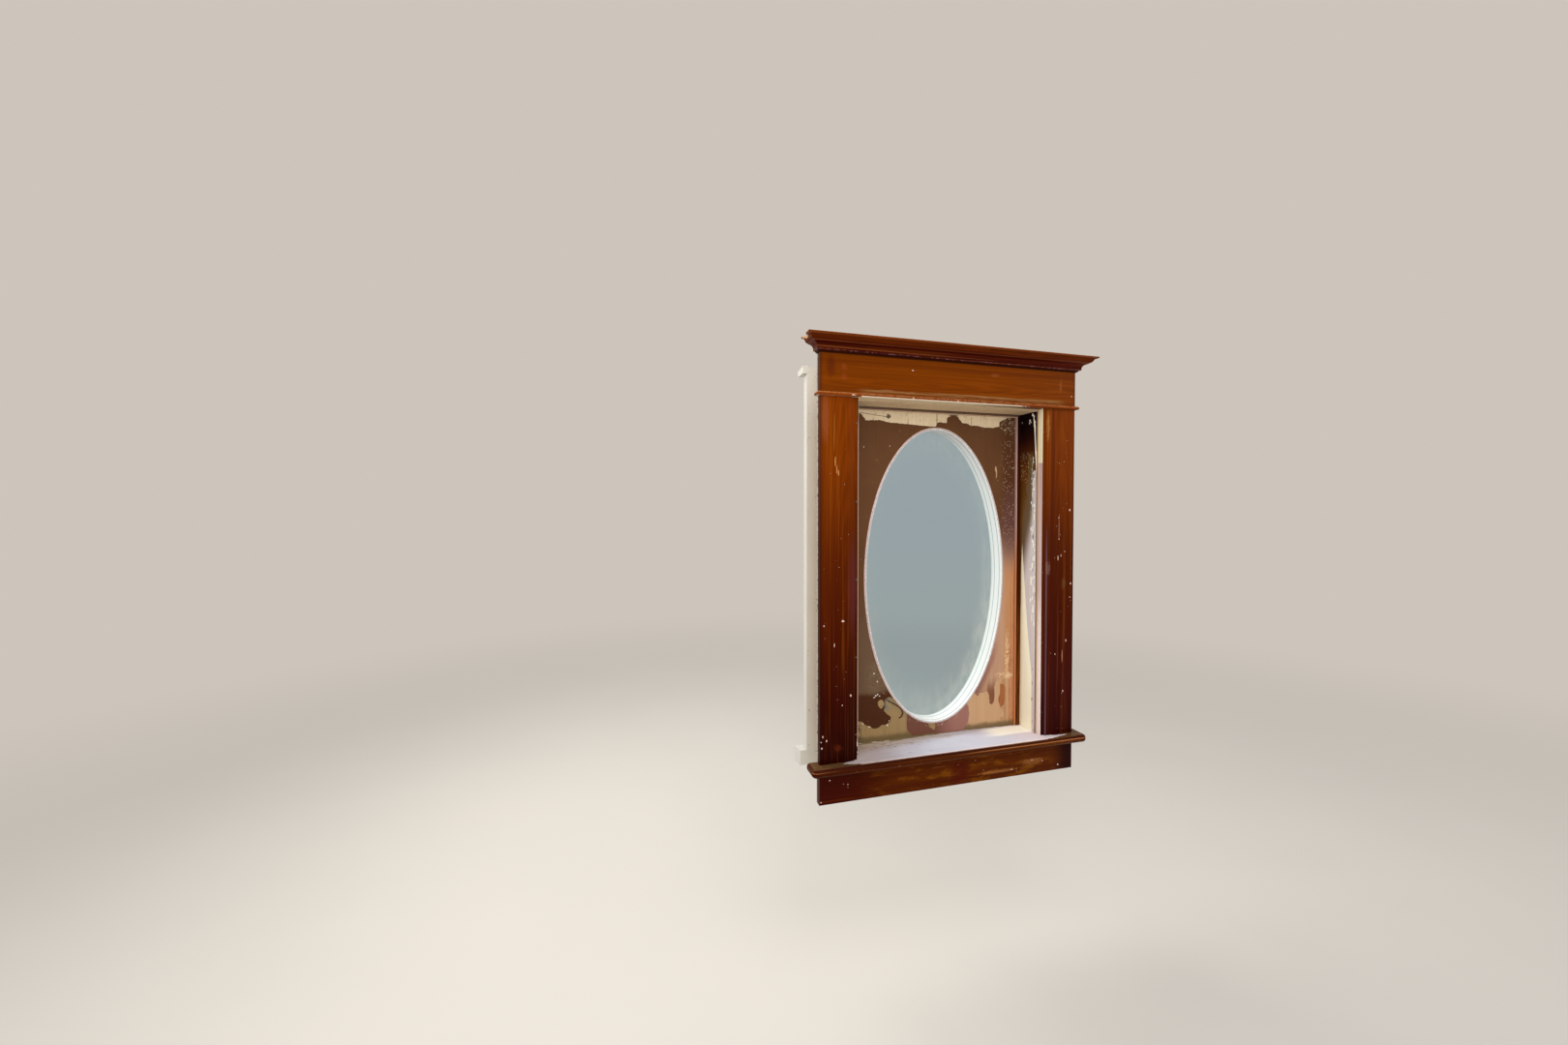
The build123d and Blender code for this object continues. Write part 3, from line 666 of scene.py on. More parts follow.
for place, low, high in ((-212, 966, 984), (-98, 964, 985), (-0.5, 962, 1000), (121, 975, 1000)):
    split = wandering.band(place - 0.5, place + 0.5, 0.5) * z.band(low, high, 1)
    sash.over(split * 0.85, (56, 36, 22))
knocked = sash.spot(-163, 991, 7, 6, 1.1, 0.1) | sash.spot(58, 1003, 17, 2, 0.8, 0.1)
sash.over(knocked * 0.85, (54, 34, 18))

# The oval's cut edge has a grey line where the bead ends, a ridge in its paint half way to
# the pane, and a damp rim at the pane.
inside = around_oval(sash, 2).fall(0.998, 1)
outside = sash.y.rise(outer_face - 14, outer_face - 12)
sash.over(inside, ragged.mix(old_white, (228, 226, 222)))
depth = sash.y + (stains - 0.5)
bead_foot = depth.band(sash_face + 6.5, sash_face + 8.5, 0.6)
sash.over(inside * bead_foot * 0.75, (136, 126, 136))
paint_ridge = depth.band(sash_face + 30, sash_face + 33, 0.8)
sash.over(inside * paint_ridge * 0.7, (150, 160, 170))
damp_rim = (depth + 8 * (stains - 0.5)).rise(sash_face + 38, sash_face + 47)
sash.over(inside * damp_rim * 0.5, (176, 190, 192))
sash.over(outside, ragged.mix((220, 218, 212), (206, 204, 196)))
joint = abs(x).fall(0.4, 1.2) * (1 - (inside | outside))
sash.over(joint * 0.85, (48, 34, 24))
dress(sash.apply(0.5, fibres * 0.5 + ragged * 0.5, 0.12), "left_sash_half", "right_sash_half")


# Paint films: what is left of the brown paint, a thick brittle skin with ragged edges that
# lift where the wood shows. Each is cut from a fine grid along a worked out outline.
film_thickness = 0.35
film_gap = 0.02


def clipped(number):
    return np.clip(number, 0, 1)


def least(*numbers):
    return np.minimum.reduce(numbers)


def wander(first, second, size, seed):
    """Smooth random numbers from -1 to 1 over a plane, in patches of one size."""
    count = 64
    table = np.random.default_rng(seed).uniform(-1, 1, (count, count))
    u, v = first / size, second / size
    i, j = np.floor(u).astype(int), np.floor(v).astype(int)
    s, t = u - i, v - j
    s, t = s * s * (3 - 2 * s), t * t * (3 - 2 * t)
    i, j, next_i, next_j = i % count, j % count, (i + 1) % count, (j + 1) % count
    near = table[i, j] * (1 - s) + table[next_i, j] * s
    far = table[i, next_j] * (1 - s) + table[next_i, next_j] * s
    return near * (1 - t) + far * t


def ragged_line(first, second, depth, seed):
    """An uneven shift for the edge of a film, of about the given depth."""
    waves = enumerate(((0.5, 14), (0.6, 5), (0.5, 2.6)))
    return depth * sum(share * wander(first, second, size, seed + i) for i, (share, size) in waves)


def within(first, second, outline):
    """How far a place lies inside a closed outline, and below 0 outside it."""
    nearest = np.full(first.shape, 1e9)
    inside = np.zeros(first.shape, bool)
    ends = np.array(outline, float)
    for (a, b), (c, d) in zip(ends, np.roll(ends, -1, axis=0)):
        share = ((first - a) * (c - a) + (second - b) * (d - b)) / ((c - a) ** 2 + (d - b) ** 2)
        share = clipped(share)
        nearest = np.minimum(nearest, np.hypot(first - a - share * (c - a), second - b - share * (d - b)))
        if b != d:
            inside ^= ((b > second) != (d > second)) & (first < (c - a) * (second - b) / (d - b) + a)
    return np.where(inside, nearest, -nearest)


def steps(*stretches):
    """Grid lines: each stretch is its start, its end and the spacing in it."""
    lines = [np.arange(start, end - 1e-6, spacing) for start, end, spacing in stretches]
    return np.concatenate(lines + [[stretches[-1][1]]])


def add_piece(name, points, faces, material):
    """A mesh piece that rides with the window, smooth except at its sharp edges."""
    mesh = bpy.data.meshes.new(name)
    mesh.from_pydata([(x * mm, y * mm, z * mm) for x, y, z in points], [], faces)
    shape = bmesh.new()
    shape.from_mesh(mesh)
    bmesh.ops.recalc_face_normals(shape, faces=shape.faces)
    shape.to_mesh(mesh)
    shape.free()
    mesh.polygons.foreach_set("use_smooth", [True] * len(mesh.polygons))
    mesh.set_sharp_from_angle(angle=radians(35))
    mesh.materials.append(material)
    piece = bpy.data.objects.new(name, mesh)
    bpy.context.scene.collection.objects.link(piece)
    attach(piece, "root")


def film(name, first, second, inside, lifted, place, material):
    """A skin of paint. inside gives how far a place is inside the film's outline, lifted how
    far the film stands off there, and place turns grid numbers and a height into a point."""
    grid = np.meshgrid(first, second, indexing="ij")
    depth = inside(*grid)
    lift = lifted(*grid, depth)
    found, tops, cells = {}, [], []

    def corner(i, j):
        if (i, j) not in found:
            found[i, j] = len(tops)
            tops.append((first[i], second[j], lift[i, j]))
        return found[i, j]

    def crossing(here, there):
        key = (min(here, there), max(here, there))
        if key not in found:
            share = depth[here] / (depth[here] - depth[there])
            share = min(max(share, 0.02), 0.98)
            found[key] = len(tops)
            ends = [(first[i], second[j], lift[i, j]) for i, j in (here, there)]
            tops.append(tuple(p + share * (q - p) for p, q in zip(*ends)))
        return found[key]

    for i in range(len(first) - 1):
        for j in range(len(second) - 1):
            ring = [(i, j), (i + 1, j), (i + 1, j + 1), (i, j + 1)]
            held = [depth[here] > 0 for here in ring]
            if not any(held):
                continue
            loop = []
            for here, there, kept, next_kept in zip(ring, ring[1:] + ring[:1], held, held[1:] + held[:1]):
                if kept:
                    loop.append(corner(*here))
                if kept != next_kept:
                    loop.append(crossing(here, there))
            cells.append(loop)
    count = len(tops)
    points = [place(a, b, film_thickness + film_gap + h) for a, b, h in tops]
    points += [place(a, b, film_gap + h) for a, b, h in tops]
    faces = cells + [[p + count for p in reversed(loop)] for loop in cells]
    sides = {(p, q) for loop in cells for p, q in zip(loop, loop[1:] + loop[:1])}
    faces += [(q, p, p + count, q + count) for p, q in sides if (q, p) not in sides]
    add_piece(name, points, faces, material)


def oval_distance(x, z, growth):
    """About how far a place lies outside the oval, grown by a length."""
    a, b = oval_half_width + growth, oval_half_height + growth
    share = np.sqrt((x / a) ** 2 + ((z - oval_centre) / b) ** 2)
    slope = np.sqrt((x / a ** 2) ** 2 + ((z - oval_centre) / b ** 2) ** 2) / np.maximum(share, 1e-6)
    return (share - 1) / slope


# Brown paint on the sash. It is gone in a strip under the head and in two bare places at the
# foot, where an island of it is left at the right, and it is worn off the edge of the right side.
bare_top = [(-290, 1020), (-290, 996), (-252, 994), (-243, 984), (-236, 975), (-215, 977), (-193, 978),
            (-180, 976), (-162, 972), (-123, 971), (-91, 970), (-59, 967), (-26, 966), (-3, 967),
            (1, 978), (17, 980), (34, 979), (36, 996), (54, 1002), (71, 1002), (78, 992), (89, 982),
            (102, 981), (120, 974), (144, 974), (172, 970), (200, 971), (222, 977), (223, 990),
            (236, 997), (250, 1003), (290, 1008), (290, 1020)]
bare_left = [(-262, 89), (-244, 84), (-238, 77), (-231, 73), (-219, 69), (-213, 62), (-203, 60),
             (-190, 63), (-181, 68), (-165, 70), (-154, 76), (-152, 89), (-162, 98), (-175, 111),
             (-170, 123), (-172, 144), (-156, 151), (-140, 142), (-133, 131), (-133, 146),
             (-143, 168), (-153, 186), (-110, 160), (-88, 131), (-98, 93), (-97, 45), (-78, 24),
             (-55, 24), (-35, 27), (-15, 26), (5, 23), (6, -8), (-290, -8), (-290, 89)]
bare_right = [(80, 140), (94, 122), (104, 113), (115, 97), (119, 71), (115, 50), (103, 27), (101, -8),
              (300, -8), (300, 515), (285, 485), (280, 454), (277, 392), (272, 330), (267, 274),
              (264, 237), (262, 206), (257, 185), (242, 184), (235, 175), (224, 169), (215, 165),
              (210, 148), (212, 123), (210, 102), (203, 93), (194, 99), (192, 113), (192, 125),
              (187, 135), (178, 136), (171, 133), (157, 134), (153, 126), (146, 126), (143, 134),
              (120, 134)]
bare_spots = [[(-195, 135), (-191, 143), (-184, 145), (-176, 141), (-172, 132), (-175, 124), (-183, 116),
               (-191, 124)],
              [(-25, 55), (-18, 58), (-11, 55), (2, 52), (2, 37), (-8, 32), (-13, 42), (-18, 40)],
              [(209, 852), (214, 846), (216, 832), (214, 812), (210, 813), (211, 829), (207, 840)]]
island = [(232, 156), (242, 157), (253, 147), (253, 126), (250, 107), (248, 89), (236, 81), (230, 92),
          (225, 105), (232, 128)]
film_reach = 281.5
film_floor = 22.5
film_head = 1005.6
bead_growth = 8.7


def sash_paint_inside(x, z):
    uneven = ragged_line(x, z, 1.5, 3)
    kept = least(*(uneven - within(x, z, outline) for outline in (bare_top, bare_left, bare_right)))
    kept = np.maximum(kept, within(x, z, island) + uneven)
    kept = least(kept, *(0.4 * uneven - within(x, z, outline) for outline in bare_spots))
    kept = least(kept, film_reach - np.abs(x), z - film_floor, film_head - z)
    return least(kept, oval_distance(x, z, bead_growth))


def sash_paint_lift(x, z, depth):
    free = least(film_reach - np.abs(x), oval_distance(x, z, bead_growth))
    free = clipped(free / 6 - 1) * clipped((z - 30) / 8)
    return 1.3 * clipped(1 - depth / 5) ** 2 * free * clipped(0.4 + wander(x, z, 22, 8))


brown = Finish("brown_sash_paint", 0.12, (7, 4, 0.65, 101), sash_front)
x, z, ragged = brown.x, brown.z, brown.ragged
clouds = brown.noise(60, 3, 0.6, 102)
brush = brown.noise((1.5, 1.5, 40), 2, 0.5, 103)
streaks = brown.noise((6, 6, 120), 3, 0.6, 104)
brown.colour = (clouds * 0.6 + streaks * 0.4).mix((82, 50, 24), (102, 66, 40))
brown.over(x.fall(-120, -80) * z.fall(300, 500) * 0.6, (98, 80, 62))
lower = (z + 30 * (clouds - 0.5)).fall(155, 175) * x.fall(-120, -100)
brown.over(lower, ragged.mix((58, 26, 8), (74, 38, 12)))
brown.over(x.fall(-262, -250) * z.fall(400, 600) * 0.5, (84, 40, 20))
under_oval = x.band(-100, 121, 4) * z.fall(160, 200)
brown.over(under_oval, x.rise(-20, 80).mix((106, 66, 52), (148, 102, 90)))
scratched = under_oval * around_oval(brown, 12).rise(0.985, 0.995) * around_oval(brown, 24).fall(0.97, 1)
scratched = scratched * brown.specks(x + 0.5 * z, z, (4, 12), 0.36, 0.4, 12)
brown.over(scratched * 0.8, (204, 172, 160))
right_low = x.rise(100, 200) * z.fall(520, 680)
brown.over(right_low * 0.8, streaks.mix((172, 128, 100), (210, 170, 140)))
reddish = x.rise(100, 120) * around_oval(brown, 34).fall(0.94, 1) * z.fall(200, 340)
brown.over(reddish * 0.75, (134, 88, 80))
island_tone = x.band(222, 256, 2) * z.fall(158, 162)
brown.over(island_tone, streaks.mix((124, 66, 34), (172, 108, 66)))
drip_tone = x.band(185, 216, 2) * (z + 50 * (streaks - 0.5)).fall(130, 185)
brown.over(drip_tone * 0.85, (108, 58, 34))
rubbed_stile = (x + 12 * (streaks - 0.5)).rise(238, 258) * z.fall(500, 600)
brown.over(rubbed_stile * 0.8, streaks.mix((160, 102, 56), (196, 142, 94)))
chipped = brown.spot(257, 250, 9, 75, 1, 0.4) | brown.spot(240, 186, 26, 9, 1, 0.4)
brown.over(chipped * ragged.rise(0.46, 0.54) * 0.8, (214, 180, 138))
brown.over(chipped * ragged.fall(0.34, 0.4) * 0.7, (112, 68, 34))
stile = x.rise(215, 255) * z.rise(500, 600)
brown.over(stile * 0.45, (62, 26, 14))
brown.over(stile * brown.specks(x, z, (4.5, 9), 0.26, 0.4, 2) * 0.9, (196, 170, 138))
corner_flecks = brown.spot(255, 985, 36, 26, 0.5, 0.3)
brown.over(corner_flecks * brown.specks(x, z, (4.5, 5), 0.34, 0.5, 6), (204, 184, 156))
brown.spots((0.25, (120, 84, 92), 262, 640, 26, 120, 0.3, 0.5))
bloom = brown.spot(-200, 215, 36, 46, 0.8, 0.5) * ragged.rise(0.4, 0.62)
brown.over(bloom * 0.35, (124, 108, 88))
brown.over(brown.specks(x, z, (26, 26), 0.07, 0.3, 8) * 0.8, (196, 168, 132))
brown_material = brown.apply(0.4 + 0.25 * clouds, brush * 0.5 + ragged * 0.5, 0.07)


def on_sash(a, b, h):
    return (a, sash_face - h, b)


sash_columns = steps((-film_reach, film_reach, 2.2))
sash_rows = steps((film_floor, 220, 2.2), (220, 520, 8), (520, 800, 20), (800, 860, 4), (860, 958, 14),
                  (958, film_head, 2))
film("sash_paint", sash_columns, sash_rows, sash_paint_inside, sash_paint_lift, on_sash,
     brown_material)

# Brown paint on the jambs. Nearly black at the top, it thins to tan lower down and ends in a
# long slope: it reaches the sill only in the corner by the stop.
jamb_brown = Finish("brown_jamb_paint", 0.1, (7, 4, 0.65, 171))
y, z, ragged = jamb_brown.y, jamb_brown.z, jamb_brown.ragged
streaks = jamb_brown.noise((3, 3, 90), 3, 0.6, 172)
jamb_tones = [(20, (122, 78, 30)), (400, (112, 66, 24)), (680, (128, 88, 44)), (760, (104, 64, 20)),
              (820, (104, 56, 12)), (880, (76, 34, 8)), (930, (40, 10, 5)), (970, (16, 3, 3)),
              (1020, (12, 2, 3))]
jamb_brown.colour = (z + 60 * (streaks - 0.5)).ramp(jamb_tones)
jamb_brown.over(y.rise(56, 68) * z.fall(800, 900) * 0.6, (66, 34, 8))
olive = y.band(16, 34, 8) * z.band(820, 870, 30)
jamb_brown.over(olive * 0.6, (110, 96, 52))
pecked = z.band(800, 880, 20) * jamb_brown.specks(y, z, (5, 6), 0.36, 0.4, 5)
jamb_brown.over(pecked * 0.7, (196, 176, 150))
jamb_material = jamb_brown.apply(0.4 + 0.2 * ragged, ragged, 0.1)
jamb_front = 2.2
jamb_back = stop_face - 0.5
jamb_head = 1013.5


def jamb_paint(name, side, seed, edge_line):
    """The film on one jamb. The edge line gives the height that it ends at, at each depth."""
    def inside(y, z):
        low = np.interp(y, *zip(*edge_line))
        uneven = ragged_line(y, z, 3, seed) + 9 * wander(y, z / 6, 5, seed + 5)
        kept = 0.25 * (z - low) + uneven
        return least(kept, y - jamb_front, jamb_back - y, z - film_floor, jamb_head - z)

    def lifted(y, z, depth):
        free = clipped((y - 5) / 5) * clipped((stop_face - 5 - y) / 5)
        return 0.9 * clipped(1 - depth / 4) ** 2 * clipped(wander(y, z, 25, seed)) * free

    film(name, steps((jamb_front, jamb_back, 1.5)), steps((film_floor, jamb_head, 3)), inside, lifted,
         lambda a, b, h: (side * (jamb_face - h), a, b), jamb_material)


jamb_paint("jamb_paint_right", 1, 41, [(0, 862), (8, 856), (14, 846), (24, 830), (36, 806), (46, 760),
                                       (54, 706), (61, 648), (66, 520), (69, 20)])
jamb_paint("jamb_paint_left", -1, 47, [(0, 700), (10, 690), (20, 640), (34, 520), (44, 300), (54, 120),
                                       (60, 20), (69, 10)])

# Pale paint on the stool: a chalky skin over the flat top, which ends in an uneven line at
# the nose and runs out to the right past the casing. It is peeling in the far left corner.
# Three odd last digits keep grid points that lie on an outline inside it.
stool_outline = [(-295.5, 81), (-295.5, 1), (-300.5, 1), (-300.5, -16.5), (-310.5, -16.5),
                 (-314, -22.8), (-330, -22.8), (-352, -30), (-331, -37), (-314, -41), (-296, -43),
                 (-260, -42.4), (-227, -43.6), (-189, -44.2), (-149, -44.6), (-96, -43.40001),
                 (-36, -44.6), (28, -44.2), (94, -43.6), (193, -44.4), (296, -44.6), (330, -43),
                 (352, -38.5), (372, -35), (398, -31), (372, -30), (346, -28), (334, -22.8),
                 (314, -22.8), (310.5, -16.5), (300.5, -16.5), (300.5, 1), (295.5, 1), (295.5, 81)]
bare_corner = [(-300, 90), (-300, 40), (-262, 41), (-226, 39), (-196, 44), (-172, 58), (-140, 63),
               (-96, 70), (-40, 74), (40, 79), (150, 78), (230, 74), (300, 70), (300, 90)]
peeling_corner = [(-294.00001, 78), (-294.00001, 44), (-240, 41.99999), (-196, 48), (-150, 66),
                  (-170, 78)]


def stool_paint_inside(x, y):
    uneven = ragged_line(x / 3, y, 1.6, 61)
    gone = within(x, y, bare_corner) - 2.5 * wander(x, y, 12, 66) + uneven
    flakes = least(within(x, y, peeling_corner), 3.2 * wander(x / 2, y, 7, 71) - 0.5)
    return least(within(x, y, stool_outline) + least(uneven, 0 * uneven), np.maximum(-gone, flakes))


def stool_paint_lift(x, y, depth):
    peeling = clipped((y - 20) / 20) * clipped(0.3 + wander(x, y, 18, 73))
    return 0.8 * clipped(1 - depth / 4) ** 2 * peeling


chalk = Finish("chalky_stool_paint", 0.25, (7, 4, 0.65, 181))
x, y, ragged = chalk.x, chalk.y, chalk.ragged
streaks = chalk.noise((120, 5, 5), 3, 0.6, 182)
clouds = chalk.noise(90, 3, 0.6, 183)
chalk.colour = (streaks * 0.5 + clouds * 0.5).mix((178, 175, 190), (222, 217, 224))
chalk.over(x.fall(-260, -120) * 0.75, streaks.mix((140, 120, 114), (186, 170, 164)))
# Browner toward the back by the sash: partly dirt and partly painted shade.
back_dirt_and_shade = (y + 60 * (clouds - 0.5) - 0.12 * x).rise(34, 64)
chalk.over(back_dirt_and_shade * (streaks + 0.4 * (ragged - 0.5)).rise(0.36, 0.56) * 0.75, (150, 126, 100))
flecks_and_glints = x.fall(-160, 20) * y.rise(10, 36) * chalk.specks(x, y, (19, 7), 0.42, 0.5, 3)
chalk.over(flecks_and_glints * 0.6, (116, 92, 66))
chalk.over(x.rise(160, 300) * 0.45, (240, 214, 210))
chalk.over(y.rise(30, 70) * x.fall(-100, 100) * 0.55, ragged.mix((158, 136, 114), (206, 196, 176)))
# A near white patch at the right back: painted sunlight.
chalk.over(x.rise(120, 200) * y.band(20, 62, 12) * 0.95, (255, 250, 236))
front_edge = (y + 2 * (streaks - 0.5)).fall(-42.5, -40)
chalk.over(front_edge * 0.8, (248, 232, 236))
chalk.over(ragged.rise(0.66, 0.7) * 0.3, (170, 150, 150))
for across, along, half_width, half_depth in ((-142, -17, 7, 2), (-77, -23, 6, 1.6), (50, 20, 5, 1.4)):
    dab = chalk.patch((across, along, stool_top), (half_width, half_depth, 100), 0.8, 0.3)
    chalk.over(dab * 0.5, (138, 140, 156))
film("stool_paint", steps((-354, 400, 3)), steps((-46, 82, 2)), stool_paint_inside, stool_paint_lift,
     lambda a, b, h: (a, b, stool_top + h), chalk.apply(0.5 + 0.2 * clouds, ragged, 0.1))


# Drips and drops of pale paint: a run down the right jamb's edge with blobs above it, small
# drops spattered over the trim, and the filler over the nails of the casings.
def tube(name, path, place, material):
    """A low rounded bead along a path. Each of its points has a half width and a height too."""
    points, faces, sides = [], [], 6
    for number, (a, b, half_width, height) in enumerate(path):
        before = path[max(number - 1, 0)]
        after = path[min(number + 1, len(path) - 1)]
        run = Vector((after[0] - before[0], after[1] - before[1])).normalized()
        for side in range(sides + 1):
            turn = pi * side / sides
            off = half_width * cos(turn)
            points.append(place(a + off * run.y, b - off * run.x, height * sin(turn) + film_gap))
    row = sides + 1
    for start in range(0, len(points) - row, row):
        faces += [(start + k, start + k + 1, start + k + 1 + row, start + k + row) for k in range(sides)]
        faces.append((start + sides, start, start + row, start + row + sides))
    faces.append(tuple(range(row - 1, -1, -1)))
    faces.append(tuple(range(len(points) - row, len(points))))
    add_piece(name, points, faces, material)


def drops(name, places, material, seed):
    """Low uneven drops. Each has a function for its side, a centre, half sizes and a height."""
    chance = np.random.default_rng(seed)
    points, faces, count = [], [], 10
    for place, a, b, across, along, height in places:
        start = len(points)
        wobble = chance.uniform(0.75, 1.15, count)
        for share, level in ((1.0, 0.0), (0.94, 0.5), (0.6, 0.92)):
            for k in range(count):
                turn = 2 * pi * k / count
                reach = share * wobble[k]
                points.append(place(a + across * reach * cos(turn), b + along * reach * sin(turn),
                                    height * level + film_gap))
        points.append(place(a, b, height + film_gap))
        rings = [[start + ring * count + k for k in range(count)] for ring in range(3)]
        for low, high in zip(rings, rings[1:]):
            faces += zip(low, low[1:] + low[:1], high[1:] + high[:1], high)
        faces += [(p, q, start + 3 * count) for p, q in zip(high, high[1:] + high[:1])]
        faces.append(rings[0][::-1])
    add_piece(name, points, faces, material)


def on_front(a, b, h):
    return (a, -trim_thickness - h, b)


def on_bead(a, b, h):
    return (a, bead_front - h, b)


def on_right_jamb(a, b, h):
    return (jamb_face - h, a, b)


def on_sash_paint(a, b, h):
    return on_sash(a, b, film_thickness + h)


cream_tones = [(236, 224, 200), (250, 246, 234)]
cream_material = plain("cream_drip_paint", 0.35, (4, 3, 0.6, 191), cream_tones, 0.35, 0.1)
run_path = [(16, 1004, 1.6, 0.8), (12, 984, 2.8, 1.2), (10, 968, 3.6, 1.4), (8.4, 941, 2.2, 1.0),
            (6.6, 911, 2.6, 0.9), (5, 887, 3.2, 1.1), (3.6, 869, 2.2, 0.9), (2.8, 850, 1.8, 0.7),
            (2.6, 826, 0.6, 0.4)]
tube("cream_run", run_path, on_right_jamb, cream_material)
blobs = [(19, 1006, 4.5, 4.6, 1.5), (13, 1001, 2.6, 3, 1), (31, 990, 3.4, 4.5, 1.2), (33, 982, 2.4, 4, 0.9),
         (11, 981, 4.4, 6, 1.8), (26, 984, 2, 2.4, 0.8), (9, 962, 3, 6, 1.2), (66, 988, 1.6, 3.4, 0.5),
         (14, 972, 2, 2.4, 0.8)]
drops("cream_blobs", [(on_right_jamb, *blob) for blob in blobs], cream_material, 7)
flakes = [(12, 807, 3, 5), (15, 793, 2.2, 9), (11, 778, 2.2, 6), (18, 760, 1.6, 12), (17, 540, 4, 9),
          (14, 560, 2, 7), (13, 604, 2.4, 14), (22, 492, 3, 16), (10, 466, 2, 12), (16, 438, 2, 6),
          (9, 505, 2.4, 7), (26, 848, 1.3, 1.8), (12, 405, 3, 15), (20, 640, 1.6, 9), (11, 690, 2, 16),
          (8, 360, 2.4, 10), (17, 376, 1.6, 12)]
drops("pale_flakes", [(on_right_jamb, *flake, 0.35) for flake in flakes], cream_material,
      9)

front_drops = [(-348, 409, 4.2, 2.8), (-403, 399, 1.8, 2.4), (-373, 345, 1.3, 6), (-325, 204, 2.6, 3.4),
               (-350, 179, 1.6, 2), (-406, 98, 2.0, 3.4), (-395, 86, 2.0, 3.4), (-409, 67, 2.2, 2.8),
               (-411, 84, 1.6, 2), (399, 712, 2.4, 3.6), (359, 688, 1.2, 3.6), (360, 623, 1.6, 2.4),
               (357, 564, 1.5, 8), (368, 572, 1.2, 4.6), (382, 584, 2.0, 1.4), (405, 485, 2.6, 3.4),
               (402, 443, 2.4, 1.4), (389, 309, 2.0, 4), (349, 270, 1.4, 2.6), (379, 153, 1.8, 3.4),
               (-140, 1102, 3.4, 1.6), (-386, -23, 2.4, 2), (-333, -41, 1.8, 1.4), (-411, -80, 2, 2),
               (363, -73, 2.6, 2.4), (306, -54, 1.8, 1.6), (195, -67, 2.6, 1.6), (-350, 412, 1.2, 1),
               (402, 1060, 1.4, 2), (268, -48, 2.4, 1.8)]
bead_drops = [(-323, 1022.6, 3.6, 2.6), (-317, 1021.6, 2, 1.6), (-142, 1022.8, 2.2, 2.2),
              (0, 1022.8, 2.4, 2.0), (86, 1022.6, 1.2, 1.2)]
scattered = [(on_front, *drop, 0.5) for drop in front_drops] + [(on_bead, *drop, 0.9) for drop in bead_drops]
chance = np.random.default_rng(17)
for number in range(44):
    side = -1 if number % 2 else 1
    size = chance.uniform(0.35, 0.9)
    scattered.append((on_front, side * chance.uniform(332, 411), chance.uniform(30, 990), size,
                      size * chance.uniform(0.8, 1.8), 0.25))
for number in range(12):
    size = chance.uniform(0.4, 1.0)
    scattered.append((on_front, chance.uniform(-400, 400), chance.uniform(-80, -10), size, size, 0.25))
spatter_tones = [(184, 142, 120), (226, 204, 190)]
spatter_material = plain("spattered_paint", 0.35, (4, 3, 0.6, 193), spatter_tones, 0.4, 0.08)
drops("spattered_drops", scattered, spatter_material, 19)

chips = [(-206, 153, 2.7, 1.5), (-201, 158, 2.55, 1.95), (-195, 161, 1.65, 2.25), (-189, 156, 1.95, 1.2),
         (-207, 225, 2.25, 1.65), (-196, 200, 1.8, 2.1), (-243, 78, 1.65, 2.7), (-222, 66, 3.45, 1.2),
         (-242, 897, 1.5, 1.05), (-158, 902, 1.65, 1.05), (-163, 66, 1.8, 3), (-157, 78, 1.2, 2.25)]
drops("pale_chips", [(on_sash_paint, *chip, 0.5) for chip in chips], cream_material, 23)

# Curled strip of paint: a thin skin that has come off the sash along a hooked line by the
# lower left of the oval, and stands on its edge.
hook = [(-174, 147, 0.6, 0.4), (-166, 143, 1.2, 0.9), (-159, 138, 1.5, 1.4), (-146, 131, 1.6, 1.7),
        (-133, 123, 1.7, 2.0), (-123, 117, 1.9, 2.3), (-117, 111, 2.2, 2.6), (-113, 103, 2.4, 2.8),
        (-112, 96, 2.5, 2.8), (-115, 89, 2.4, 2.4), (-120, 85, 2.1, 1.8), (-126, 83, 1.0, 0.8)]
tube("curled_strip", hook, on_sash, brown_material)

# Oval bead: a rounded strip let into the rebate round the light, in two halves. Its inner
# side is white, and its outer side is worn to brown with dirt in the quirk, under a pale
# pinkish line on the outer arris that is a painted highlight.
bead = Finish("white_bead", 0.4, (5, 4, 0.65, 111))
bead.colour = bead.ragged.mix(old_white, (230, 224, 222))
grey_line = around_oval(bead, 1.8).rise(0.9985, 1) * around_oval(bead, 3.6).fall(0.9985, 1)
bead.over(grey_line * bead.ragged.rise(0.36, 0.46) * 0.8, (128, 116, 128))
bead.over(around_oval(bead, 4.6).rise(0.9985, 1) * 0.85, (110, 76, 70))
# A pale pinkish line on the outer arris: painted highlight.
outer_rim_highlight = around_oval(bead, 6).rise(0.9985, 1)
bead.over(outer_rim_highlight * bead.ragged.rise(0.34, 0.44) * 0.9, (242, 214, 210))
dress(bead.apply(0.4, bead.ragged, 0.06), "left_oval_bead", "right_oval_bead")

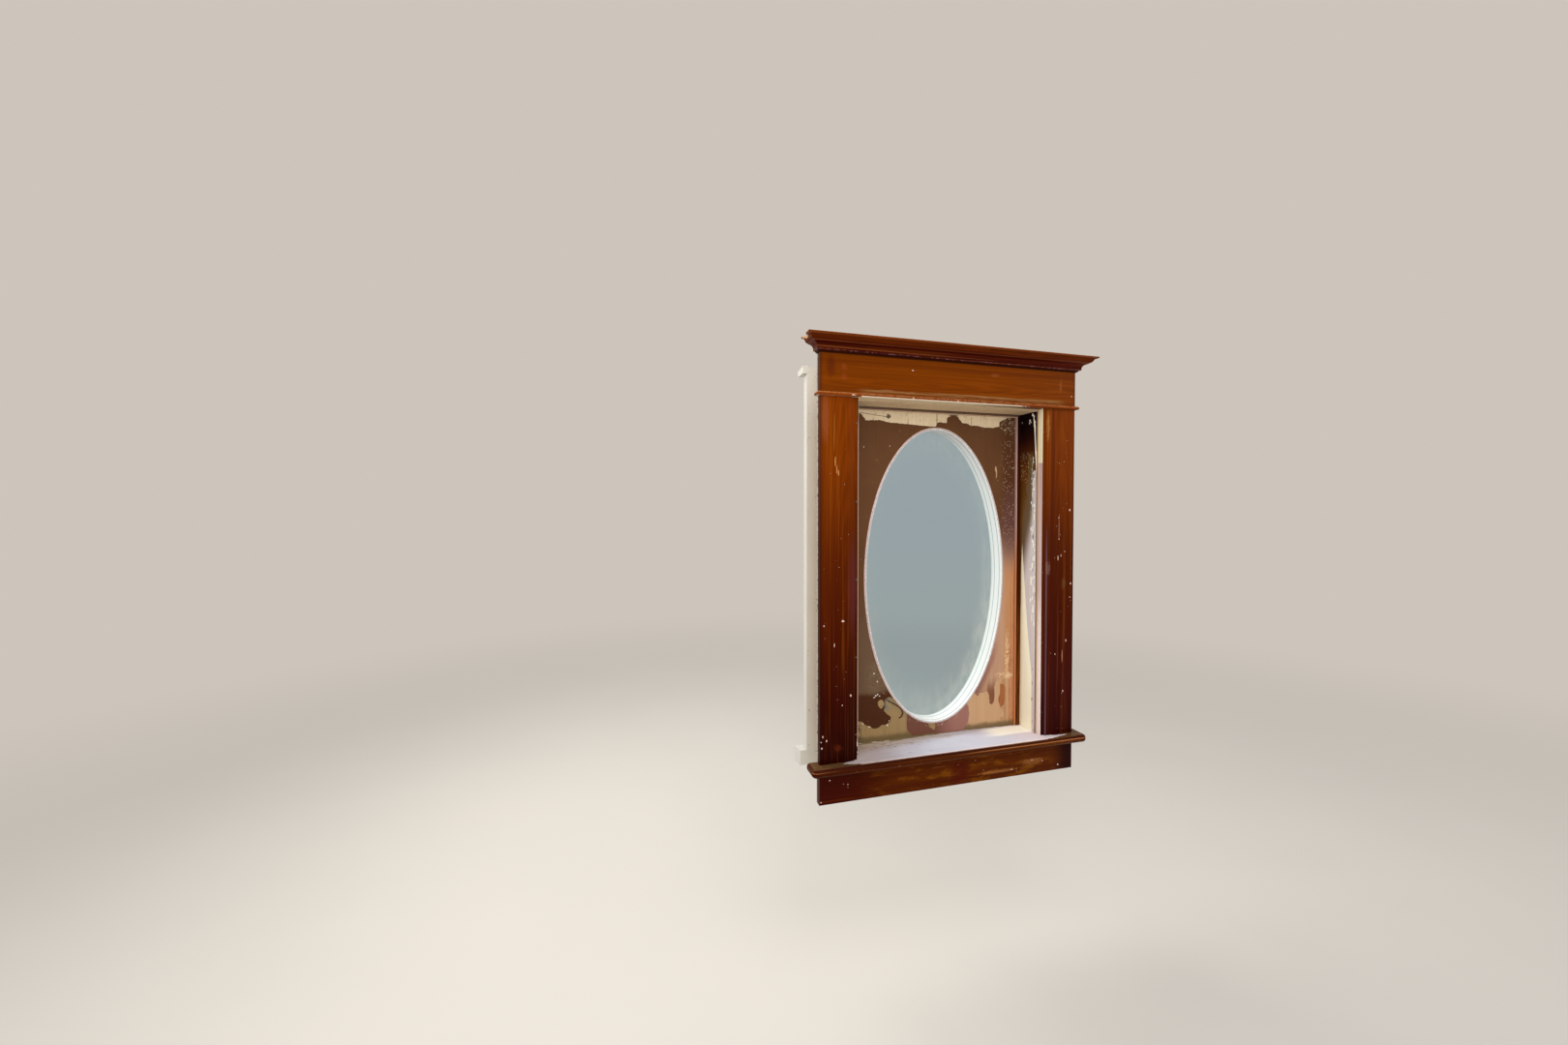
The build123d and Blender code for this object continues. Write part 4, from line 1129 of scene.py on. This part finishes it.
# Glass: one pane of clear sheet glass with smears toward its rim, where no cloth reaches. It
# lets the lamps through. Behind it is the putty that holds it.
glass = Finish("window_glass", 0.5, (9, 4, 0.65, 125), IOR=1.5, Transmission_Weight=1)
rim = around_oval(glass, 0).rise(0.8, 1)
smears = glass.noise((40, 40, 90), 4, 0.6, 121)
wiped = glass.noise((16, 16, 50), 3, 0.6, 123)
glass.colour = glass.z.rise(150, 800).mix((186, 208, 218), (183, 208, 225))
haze = (around_oval(glass, 0) + 0.12 * (smears - 0.5)).rise(0.72, 1)
haze = haze * (1 - 0.7 * glass.z.rise(300, 620)) * (0.45 + 0.55 * glass.x.rise(-100, 80))
glass.over(haze * (0.35 + 0.65 * (wiped * 0.5 + smears * 0.5).rise(0.4, 0.6)), (216, 230, 232))
dust = glass.specks(glass.x, glass.z, (17, 17), 0.09, 0.4, 3)
glass.over(dust * (0.25 + 0.75 * rim) * 0.8, (244, 246, 246))
glass.feed(glass.shader.inputs["Base Color"], glass.colour)
glass.feed(glass.shader.inputs["Roughness"], rim * smears * 0.06)
clear = glass.node("ShaderNodeBsdfTransparent", {"Color": tint((226, 236, 236))})
glass.surface(glass.ray("Shadow"), clear)
dress(glass.material, "glass_pane")
putty_tones = [(232, 228, 218), (206, 200, 188)]
dress(plain("old_putty", 0.2, (4, 4, 0.7, 131), putty_tones, 0.75, 0.3), "glazing_putty")

# Fixings: cut nails, brads and glazing points, of steel that has dulled.
steel = Finish("dull_steel", 0.5, (3, 3, 0.6, 141), Metallic=1)
steel.feed(steel.shader.inputs["Base Color"], steel.ragged.mix((96, 90, 84), (140, 136, 130)))
steel.feed(steel.shader.inputs["Roughness"], 0.4 + 0.3 * steel.ragged)
dress(steel.material, "casing_nails", "stop_brads", "frame_nails", "glazing_points")

# Hidden wood: the loose tongues in the joints of the sash.
bare_tones = [(186, 150, 102), (214, 184, 138)]
bare_wood = plain("bare_fir", 0.25, ((1.2, 1.2, 60), 3, 0.6, 151), bare_tones, 0.6, 0.1)
dress(bare_wood, "top_spline", "bottom_spline")

# Outer trim: plain boards, a drip cap and the sloped sill, in weathered white house paint.
outer = Finish("weathered_white", 0.3, (14, 4, 0.65, 161))
brushed = outer.noise((30, 2, 2), 2, 0.5, 163)
outer.colour = outer.noise(200, 3, 0.6, 162).mix((214, 212, 205), (194, 192, 183))
outer.over(outer.specks(outer.x, outer.z, (22, 22), 0.14, 0.3, 9) * 0.6, (150, 134, 110))
dress(outer.apply(0.55, brushed * 0.4 + outer.ragged * 0.6, 0.12),
      "left_outer_casing", "right_outer_casing", "head_outer_casing", "drip_cap", "sill")
